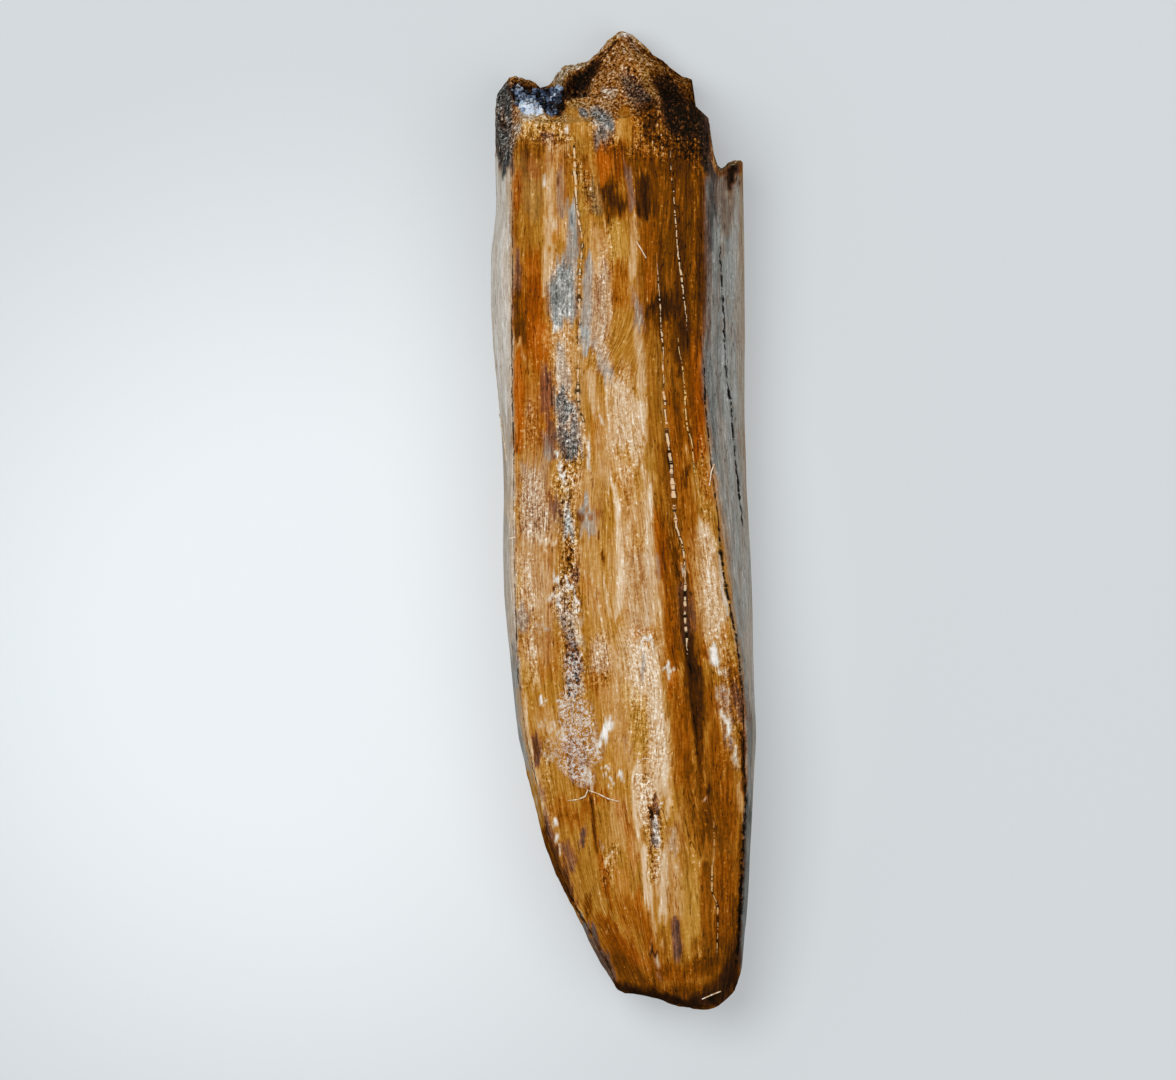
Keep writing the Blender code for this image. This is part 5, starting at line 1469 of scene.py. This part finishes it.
def relief(points, looks, end):
    """Fine ups and downs of the surface in millimetres, from its finishes and its grain."""
    x, y = photo_place(points)
    rough = mottles(x, y, ROUGH_RELIEF)
    crust = PALE_CRUST_HEIGHT * step(*PALE_CRUST_TONES, looks["tone"]) * (1 + PALE_CRUST_ROUGHNESS * rough)
    worn_in = DARK_STAIN_DEPTH * (1 - step(*DARK_STAIN_TONES, looks["tone"]))
    grit = (GRAIN_HEIGHT * looks["grain"] + WEB_HEIGHT * looks["web"]) * rough
    fibres = (end == WALL) * mottles(x, y, FIBRE_RELIEF)
    return fibres + crust - worn_in + grit + line_relief(y, looks)


def add_piece(name, data, replaced=()):
    """A named object that rides on the tooth's body and takes its finish from a slot."""
    piece = bpy.data.objects.new(name, data)
    bpy.context.scene.collection.objects.link(piece)
    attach(piece, "root")
    if replaced:
        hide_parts(*replaced)
    return piece


def solid(shade):
    """A colour with full cover, as sockets and ramps take it."""
    return (*shade, 1.0)


class Strand:
    """One output in a material's nodes. Arithmetic on it adds Math nodes."""

    def __init__(self, tree, socket=None):
        self.tree = tree
        self.socket = socket

    def node(self, kind, settings=None, values=None, output=0):
        """Adds a node: its type, its settings, the values or links of its sockets, and what it gives."""
        made = self.tree.nodes.new(kind)
        for name, value in (settings or {}).items():
            if name == "stops":
                elements = made.color_ramp.elements
                for index, (place, shade) in enumerate(value):
                    stop = elements[index] if index < 2 else elements.new(place)
                    stop.position, stop.color = place, shade
            else:
                setattr(made, name, value)
        sockets = [one for one in made.inputs if one.enabled]
        for name, value in (values or {}).items():
            place = name if isinstance(name, int) else [one.name for one in sockets].index(name)
            socket = sockets[place]
            if isinstance(value, Strand):
                self.tree.links.new(value.socket, socket)
            else:
                socket.default_value = value
        outlets = [one for one in made.outputs if one.enabled]
        outlet = outlets[output] if isinstance(output, int) else made.outputs[output]
        return Strand(self.tree, outlet)

    def math(self, operation, first, second):
        return self.node("ShaderNodeMath", {"operation": operation}, {0: first, 1: second})

    def __add__(self, other):
        return self.math("ADD", self, other)

    def __radd__(self, other):
        return self.math("ADD", other, self)

    def __sub__(self, other):
        return self.math("SUBTRACT", self, other)

    def __rsub__(self, other):
        return self.math("SUBTRACT", other, self)

    def __mul__(self, other):
        return self.math("MULTIPLY", self, other)

    def __rmul__(self, other):
        return self.math("MULTIPLY", other, self)

    def __abs__(self):
        return self.node("ShaderNodeMath", {"operation": "ABSOLUTE"}, {0: self})

    def blend(self, factor, first, second):
        """A colour between two others: the first where the factor is 0."""
        return self.node("ShaderNodeMix", {"data_type": "RGBA"}, {"Factor": factor, "A": first, "B": second})

    def mixed(self, factor, other):
        """This colour, replaced by another one where the factor is 1."""
        return self.blend(factor, self, other)

    def between(self, low, high):
        """This value as a smooth step from 0 at low to 1 at high."""
        values = {"Value": self, "From Min": low, "From Max": high}
        return self.node("ShaderNodeMapRange", {"interpolation_type": "SMOOTHSTEP"}, values)

    def near(self, value, inner, outer):
        """1 where this value is nearly the one given, and 0 where it is further off than the outer limit."""
        return 1 - abs(self - value).between(inner, outer)

    def ramp(self, palette, stops):
        """The colour of this value on a ramp of places and colours of the palette."""
        shades = [(place, solid(getattr(palette, name))) for place, name in stops]
        return self.node("ShaderNodeValToRGB", {"stops": shades}, {"Fac": self})


def new_material(name):
    """An empty material, the start of its nodes and its shader."""
    finish = bpy.data.materials.new(name)
    finish.use_nodes = True
    shader = finish.node_tree.nodes["Principled BSDF"]
    return finish, Strand(finish.node_tree), shader


def connect(start, shader, values):
    """Sets or links the shader's own sockets."""
    for name, value in values.items():
        if isinstance(value, Strand):
            start.tree.links.new(value.socket, shader.inputs[name])
        else:
            shader.inputs[name].default_value = value


def noise_field(start, place, scale, detail=3.0, roughness=0.6, distortion=0.0):
    """Even noise around 0.5 on some coordinates."""
    return start.node("ShaderNodeTexNoise", {"noise_dimensions": "3D"}, {
        "Vector": place, "Scale": scale, "Detail": detail, "Roughness": roughness, "Distortion": distortion})


def object_place(start):
    """The place on the piece itself, in metres."""
    return start.node("ShaderNodeTexCoord", output="Object")


def attribute(start, name, output="Fac"):
    """What the mesh holds at each vertex under a name."""
    return start.node("ShaderNodeAttribute", {"attribute_name": name}, output=output)


def stretched(start, place, scale):
    """Coordinates squeezed along each axis, so that noise on them makes fibres."""
    return start.node("ShaderNodeVectorMath", {"operation": "MULTIPLY"}, {0: place, 1: scale})


def tooth_fields(start):
    """All the noise that the tooth's finish is made of, by name."""
    coordinates = {"flow": attribute(start, "flow", "Vector"), "place": object_place(start)}
    fields = {}
    for name, (kind, stretch, *settings) in FIELDS.items():
        fields[name] = noise_field(start, stretched(start, coordinates[kind], stretch), *settings)
    return fields


def stray_tone(fields, grain):
    """How far the tone strays from what the strokes give: fibres, hairs, specks, worm tracks and crumbs."""
    speck, crumbs, wide = fields["speck"], fields["crumbs"], fields["fibre_wide"]
    stray = (speck.between(0.37, 0.63) - 0.5) * (grain * grain * 0.3)
    for name, (plain, grainy) in STRAYS.items():
        stray = stray + (fields[name] - 0.5) * (grain * grainy + plain)
    stray = stray - fields["hair"].near(*DARK_HAIR) * fields["fibre_fine"].between(0.35, 0.55) * 0.22
    stray = stray + fields["hair"].near(*PALE_HAIR) * fields["fibre_sharp"].between(0.45, 0.6) * 0.18
    worms = fields["worms"].near(*PALE_WORM) * 0.16 - fields["worms"].near(*DARK_WORM) * 0.2
    return stray + worms * grain + crumbs.between(0.62, 0.7) * (wide.between(0.5, 0.62) * 0.16 + grain * 0.2)


def ramp_colour(tone, yellow, grey, palette):
    """The enamel's colour, its stains and its painted sheen alike: its tone on four ramps, mixed by how
    yellow, how red and how grey it is.
    """
    base = tone.ramp(palette, WARM).mixed(yellow.between(0.0, 1.0), tone.ramp(palette, GOLDEN))
    base = base.mixed((-1 * yellow).between(0.0, 1.0), tone.ramp(palette, REDDISH))
    return base.mixed(grey, tone.ramp(palette, GREYISH))


def with_web(base, fields, web, palette):
    """The colour with its web of white mineral powder and curled crust lines."""
    speck = fields["speck"]
    powder = base.blend(fields["fibre_wide"], solid(palette.pearl), solid(palette.chalk))
    curls = fields["curls"].near(*CURL)
    base = base.mixed(web.between(0.2, 0.9) * speck.between(0.5, 0.66) * 0.75, powder)
    return base.mixed(web.between(0.1, 0.8) * curls * speck.between(0.36, 0.5) * 0.9, powder)


def with_lines(base, fields, palette):
    """The colour with the thin cracks and borders, each a row of ticks between two dark sides."""
    down = base.node("ShaderNodeSeparateXYZ", {}, {0: object_place(base)}, output=1)
    front = attribute(base, "front")
    for name, line in LINES.items():
        top, bottom = ((MIDDLE_PIXEL[1] - row) * MM_PER_PIXEL * METRES for row in (line[0][1], line[-1][1]))
        seen = front * down.between(bottom, bottom + 0.0001) * (1 - down.between(top - 0.0001, top))
        off = abs(attribute(base, "line_" + name))
        side = (1 - off.between(1.0, 2.4)) * fields["dashes"].between(0.44, 0.54) * seen
        core = (1 - off.between(0.5, 1.1)) * fields["ticks"].between(0.42, 0.5) * seen
        base = base.mixed(side * 0.85, solid(palette.pitch))
        base = base.mixed(core, solid(getattr(palette, CORE_OF_LINE[name])))
    return base


def tooth_material(palette):
    """Enamel with mineral stains, painted sheen and painted shade: streaks along the grain, painted finishes,
    crust and grit, and deep pits painted black as shade.
    """
    finish, start, shader = new_material("fossil_enamel_detail")
    fields = tooth_fields(start)
    tone, grain, web = attribute(start, "tone"), attribute(start, "grain"), attribute(start, "web")
    loud = tone.between(0.0, 0.3) * 0.75 + 0.25
    tone = tone + stray_tone(fields, grain) * loud + grain * fields["crumbs"].between(0.57, 0.68) * 0.14
    grey = attribute(start, "grey") * (0.6 + fields["fibre_wide"])
    base = ramp_colour(tone, attribute(start, "yellow"), grey, palette)
    base = with_lines(with_web(base, fields, web, palette), fields, palette)
    # Painted shade: the deep pits turn near black
    base = base.mixed(attribute(start, "pit"), PAINTED_HOLLOW_SHADE)
    height = fields["fibre_fine"] * 0.5 + fields["fibre_wide"] * 0.4
    height = height + fields["speck"] * (grain * 1.5 + 0.1) + fields["dust"] * grain
    bump = start.node("ShaderNodeBump", {}, {"Strength": 0.5, "Distance": 0.00003, "Height": height})
    connect(start, shader, {"Base Color": base, "Roughness": 0.34 + tone * 0.2 + grain * 0.2, "Normal": bump,
                            "Specular IOR Level": 0.0, "IOR": 1.5})
    return finish


def across_flow(turn):
    """Millimetres round the tooth, so that streaks are as wide on every stretch of it."""
    edges = np.concatenate([[0.0], np.cumsum(STRETCH_WIDTHS)])
    return np.interp(turn, np.arange(len(edges)), edges)


def flow_along(points, turn, end):
    """Coordinates that run round and along the tooth, and straight across its two ends."""
    around = np.where(end == WALL, across_flow(turn), points[:, 0] + BREAK_FLOW_SHIFT)
    return np.stack([around, points[:, 1], np.where(end == WALL, 0.0, points[:, 2])], axis=1)


def keep_values(data, name, kind, field, values):
    """Stores values at the mesh's vertices for its material to read."""
    layer = data.attributes.new(name, kind, "POINT")
    layer.data.foreach_set(field, np.asarray(values, np.float32).ravel())


def face_outwards(data):
    """Turns all faces of a closed mesh outwards."""
    whole = bmesh.new()
    whole.from_mesh(data)
    bmesh.ops.recalc_face_normals(whole, faces=whole.faces)
    whole.to_mesh(data)
    whole.free()


class TOOTH_OT_body(bpy.types.Operator):
    """Builds the tooth itself, with its worn enamel, its broken base and its blunt tip"""
    bl_idname = "fossil.tooth_body"
    bl_label = "Tooth"

    def execute(self, context):
        ordered, turn, end = tooth_surface()
        points = np.concatenate(ordered)
        data = mesh_from("tooth_detail", points, rings_to_faces([len(ring) for ring in ordered]))
        face_outwards(data)
        looks = tooth_looks(points, turn, end)
        lift = relief(points, looks, end) * (points[:, 2] > 0.0)
        moved = points + vertex_normals(data) * lift[:, None]
        moved[:, 2] = np.maximum(moved[:, 2], 0.0)
        data.vertices.foreach_set("co", (moved * METRES).ravel())
        data.update()
        for name, values in looks.items():
            keep_values(data, name, "FLOAT", "value", values)
        keep_values(data, "flow", "FLOAT_VECTOR", "vector", flow_along(points, turn, end))
        data.materials.append(tooth_material(context.scene.fossil_palette))
        data.shade_smooth()
        data.set_sharp_from_angle(angle=math.radians(SHARP_ANGLE))
        add_piece("tooth_detail", data, ["tooth"])
        return {"FINISHED"}


def chance(*numbers):
    """An even number between 0 and 1 that is the same on every run."""
    value = math.sin(sum(number * weight for number, weight in zip(numbers, SCATTER))) * SCATTER_SCALE
    return value - math.floor(value)


class ToothTop:
    """The tooth's surface as it lies under the camera."""

    def __init__(self):
        data = bpy.data.objects["tooth_detail"].data
        corners = [vertex.co.copy() for vertex in data.vertices]
        self.tree = BVHTree.FromPolygons(corners, [tuple(face.vertices) for face in data.polygons])

    def spot(self, px, py, lift=0.0):
        """The place in millimetres that shows at a spot of the photograph, a little above the surface."""
        x, y = (px - MIDDLE_PIXEL[0]) * MM_PER_PIXEL, (MIDDLE_PIXEL[1] - py) * MM_PER_PIXEL
        hit, _, _, _ = self.tree.ray_cast(Vector((x, y, 2 * DEPTH)) * METRES, Vector((0, 0, -1)))
        height = hit.z / METRES if hit else widest_height(0.5)
        return Vector((x, y, height + lift))


def crystal_material(palette):
    """Glassy crystals, from near black to a bluish white."""
    finish, start, shader = new_material("crystal_crust_detail")
    tone = attribute(start, "tone") + (noise_field(start, object_place(start), 22000.0, 2.0) - 0.5) * 0.5
    connect(start, shader, {"Base Color": tone.ramp(palette, GLASSY), "Roughness": 0.18, "IOR": 1.5})
    return finish


def fibre_material(palette):
    """Dull, cloudy threads."""
    finish, start, shader = new_material("loose_fibre")
    cloud = noise_field(start, object_place(start), 9000.0, 2.0).ramp(palette, CLOUDY)
    connect(start, shader, {"Base Color": cloud, "Roughness": 0.5})
    return finish


def crystal(centre, size, seed):
    """The corners and faces of one small six-sided crystal, pointed at both ends."""
    axis = Vector((chance(seed, 1) - 0.5, chance(seed, 2) - 0.5, 0.35 + 0.5 * chance(seed, 3))).normalized()
    side = axis.orthogonal().normalized()
    other = axis.cross(side)
    corners = [centre - axis * size * CRYSTAL_ROOT]
    for number in range(CRYSTAL_SIDES):
        angle = 2 * math.pi * number / CRYSTAL_SIDES
        corners.append(centre + (side * math.cos(angle) + other * math.sin(angle)) * size * CRYSTAL_GIRTH)
    corners.append(centre + axis * size * CRYSTAL_POINT)
    faces = []
    for number in range(CRYSTAL_SIDES):
        here, after = 1 + number, 1 + (number + 1) % CRYSTAL_SIDES
        faces += [(0, after, here), (CRYSTAL_SIDES + 1, here, after)]
    return corners, faces


class TOOTH_OT_crystals(bpy.types.Operator):
    """Covers the pulp hollow with a crust of small glassy crystals"""
    bl_idname = "fossil.crystals"
    bl_label = "Crystals"

    def execute(self, context):
        top = ToothTop()
        tones, shapes = [], []
        columns_apart, rows_apart = (np.arange(*limits, CRYSTAL_SPACING) for limits in CRYSTAL_FIELD)
        spots = [(column, row) for column in columns_apart for row in rows_apart]
        for seed, (column, row) in enumerate(spots):
            px = column + (chance(seed, 4) - 0.5) * CRYSTAL_SPACING
            py = row + (chance(seed, 5) - 0.5) * CRYSTAL_SPACING
            here = np.array([px]), np.array([py])
            if strongest(*here, CRYSTAL_PATCHES)[0] < 0.5:
                continue
            spread = CRYSTAL_SIZE_FROM + CRYSTAL_SIZE_SPREAD * chance(seed, 6)
            size = context.scene.fossil_sizes.crystal / METRES * spread
            shapes.append(crystal(top.spot(px, py, CRYSTAL_LIFT * size), size, seed))
            tone = painted_look(*here)[0][0] + CRYSTAL_TONE_SPREAD * (chance(seed, 7) - CRYSTAL_TONE_DROP)
            tones += [tone] * len(shapes[-1][0])
        data = joined_mesh("crystals_detail", shapes)
        keep_values(data, "tone", "FLOAT", "value", tones)
        data.materials.append(crystal_material(context.scene.fossil_palette))
        add_piece("crystals_detail", data, ["pulp_hollow_crystals"])
        return {"FINISHED"}


def tube(path, radius, sides=6):
    """The corners and faces of a thin round thread along a path."""
    corners, faces = [], []
    for number, centre in enumerate(path):
        heading = (path[min(number + 1, len(path) - 1)] - path[max(number - 1, 0)]).normalized()
        level = heading.cross(Vector((0, 0, 1))).normalized()
        upright = level.cross(heading)
        for turn in range(sides):
            angle = 2 * math.pi * turn / sides
            corners.append(centre + (level * math.cos(angle) + upright * math.sin(angle)) * radius)
    for start in range(0, len(corners) - sides, sides):
        for turn in range(sides):
            after = (turn + 1) % sides
            faces.append((start + turn, start + after, start + sides + after, start + sides + turn))
    faces.append(tuple(range(sides))[::-1])
    faces.append(tuple(range(len(corners) - sides, len(corners))))
    return corners, faces


class TOOTH_OT_fibres(bpy.types.Operator):
    """Lays the loose fibres and the pale scratch on the tooth"""
    bl_idname = "fossil.fibres"
    bl_label = "Fibres and scratch"

    def execute(self, context):
        top = ToothTop()
        shapes = []
        for fibre in (*FIBRES, SCRATCH):
            spots = [Vector(spot) for spot in fibre]
            path = []
            for first, second in zip(spots, spots[1:]):
                for part in range(FIBRE_STEPS):
                    path.append(top.spot(*first.lerp(second, part / FIBRE_STEPS)))
            path.append(top.spot(*spots[-1]))
            shapes.append(tube(path, context.scene.fossil_sizes.fibre_radius / METRES))
        data = joined_mesh("fibres_detail", shapes)
        data.materials.append(fibre_material(context.scene.fossil_palette))
        data.shade_smooth()
        add_piece("fibres_detail", data)
        return {"FINISHED"}


def floor_material(look):
    """Plain pale paper that lets some light through, with a pool of light beside the tooth."""
    finish, start, shader = new_material("floor_paper")
    place = object_place(start)
    pool = start.node("ShaderNodeVectorMath", {"operation": "DISTANCE"}, {0: place, 1: POOL_MIDDLE})
    dim = pool.between(*POOL_EDGE) * 0.95 + noise_field(start, place, 60.0, 2.0) * 0.1
    connect(start, shader, {
        "Base Color": start.blend(dim, solid(look.floor), solid(look.floor_far)), "Roughness": 0.9,
        "Specular IOR Level": 0.1, "Emission Color": GLOW_COLOUR, "Emission Strength": look.floor_glow})
    return finish


def add_to_stage(name, data):
    """A named object of the stage: the floor, the camera or a lamp."""
    thing = bpy.data.objects.new(name, data)
    bpy.context.scene.collection.objects.link(thing)
    return thing


def add_floor(look):
    """A square sheet, just under the tooth."""
    corners = [(x * FLOOR_HALF, y * FLOOR_HALF, -FLOOR_DROP) for x, y in ((-1, -1), (1, -1), (1, 1), (-1, 1))]
    data = bpy.data.meshes.new("floor")
    data.from_pydata(corners, [], [(0, 1, 2, 3)])
    data.materials.append(floor_material(look))
    floor = add_to_stage("floor", data)


def add_camera(look):
    """A camera that looks straight down and takes in what the photograph does."""
    lens = bpy.data.cameras.new("camera")
    lens.sensor_width = SENSOR_WIDTH
    seen = PHOTO_WIDTH * MM_PER_PIXEL * METRES
    lens.lens = SENSOR_WIDTH * (look.camera_height - FOCUS_HEIGHT) / seen
    lens.clip_start, lens.clip_end = VIEW_RANGE
    camera = add_to_stage("camera", lens)
    centre_x = (PHOTO_WIDTH / 2 - MIDDLE_PIXEL[0]) * MM_PER_PIXEL * METRES
    centre_y = (MIDDLE_PIXEL[1] - PHOTO_HEIGHT / 2) * MM_PER_PIXEL * METRES
    camera.location = (centre_x, centre_y, look.camera_height)
    bpy.context.scene.camera = camera


def add_light(name, place, size, power):
    """A round soft light that points at the tooth."""
    lamp = bpy.data.lights.new(name, "AREA")
    lamp.shape = "DISK"
    lamp.size = size
    lamp.energy = power
    thing = add_to_stage(name, lamp)
    thing.location = place
    thing.rotation_euler = (-Vector(place)).to_track_quat("-Z", "Y").to_euler()


def add_sky(strength):
    """Even light from all round."""
    world = bpy.data.worlds.new("studio")
    world.use_nodes = True
    background = world.node_tree.nodes["Background"]
    background.inputs["Color"].default_value = SKY_COLOUR
    background.inputs["Strength"].default_value = strength
    bpy.context.scene.world = world


class STAGE_OT_setup(bpy.types.Operator):
    """Lays the plain floor, and places the soft lights and the camera that looks straight down"""
    bl_idname = "fossil.stage"
    bl_label = "Stage"

    def execute(self, context):
        look = context.scene.fossil_stage
        add_floor(look)
        add_camera(look)
        add_light("key_light", KEY_PLACE, KEY_SIZE, look.key_power)
        add_light("fill_light", FILL_PLACE, FILL_SIZE, look.fill_power)
        add_sky(look.sky)
        context.scene.view_settings.view_transform = "Standard"
        return {"FINISHED"}


class FOSSIL_PT_panel(bpy.types.Panel):
    """Lists the tooth's pieces, colours and stage"""
    bl_idname = "FOSSIL_PT_panel"
    bl_label = "Fossil Tooth"
    bl_space_type = "VIEW_3D"
    bl_region_type = "UI"
    bl_category = "Fossil"

    def draw(self, context):
        for group_name, group_class in GROUPS.items():
            for name in group_class.__annotations__:
                self.layout.prop(getattr(context.scene, group_name), name)
        for step_class in STEPS:
            self.layout.operator(step_class.bl_idname)


STEPS = (STAGE_OT_setup, TOOTH_OT_body, TOOTH_OT_crystals, TOOTH_OT_fibres)
GROUPS = {"fossil_palette": ToothPalette, "fossil_sizes": ToothSizes, "fossil_stage": StageLook}


def register():
    """Makes the add-on's classes and settings known."""
    for group in (*GROUPS.values(), *STEPS, FOSSIL_PT_panel):
        bpy.utils.register_class(group)
    for name, group in GROUPS.items():
        setattr(bpy.types.Scene, name, bpy.props.PointerProperty(type=group))


def unregister():
    """Takes the add-on's settings and classes away again."""
    for name in GROUPS:
        delattr(bpy.types.Scene, name)
    for group in (FOSSIL_PT_panel, *reversed(STEPS), *GROUPS.values()):
        bpy.utils.unregister_class(group)


def main():
    """Builds the stage and the tooth."""
    register()
    for step_class in STEPS:
        group, name = step_class.bl_idname.split(".")
        getattr(getattr(bpy.ops, group), name)()


if __name__ == "__main__":
    main()
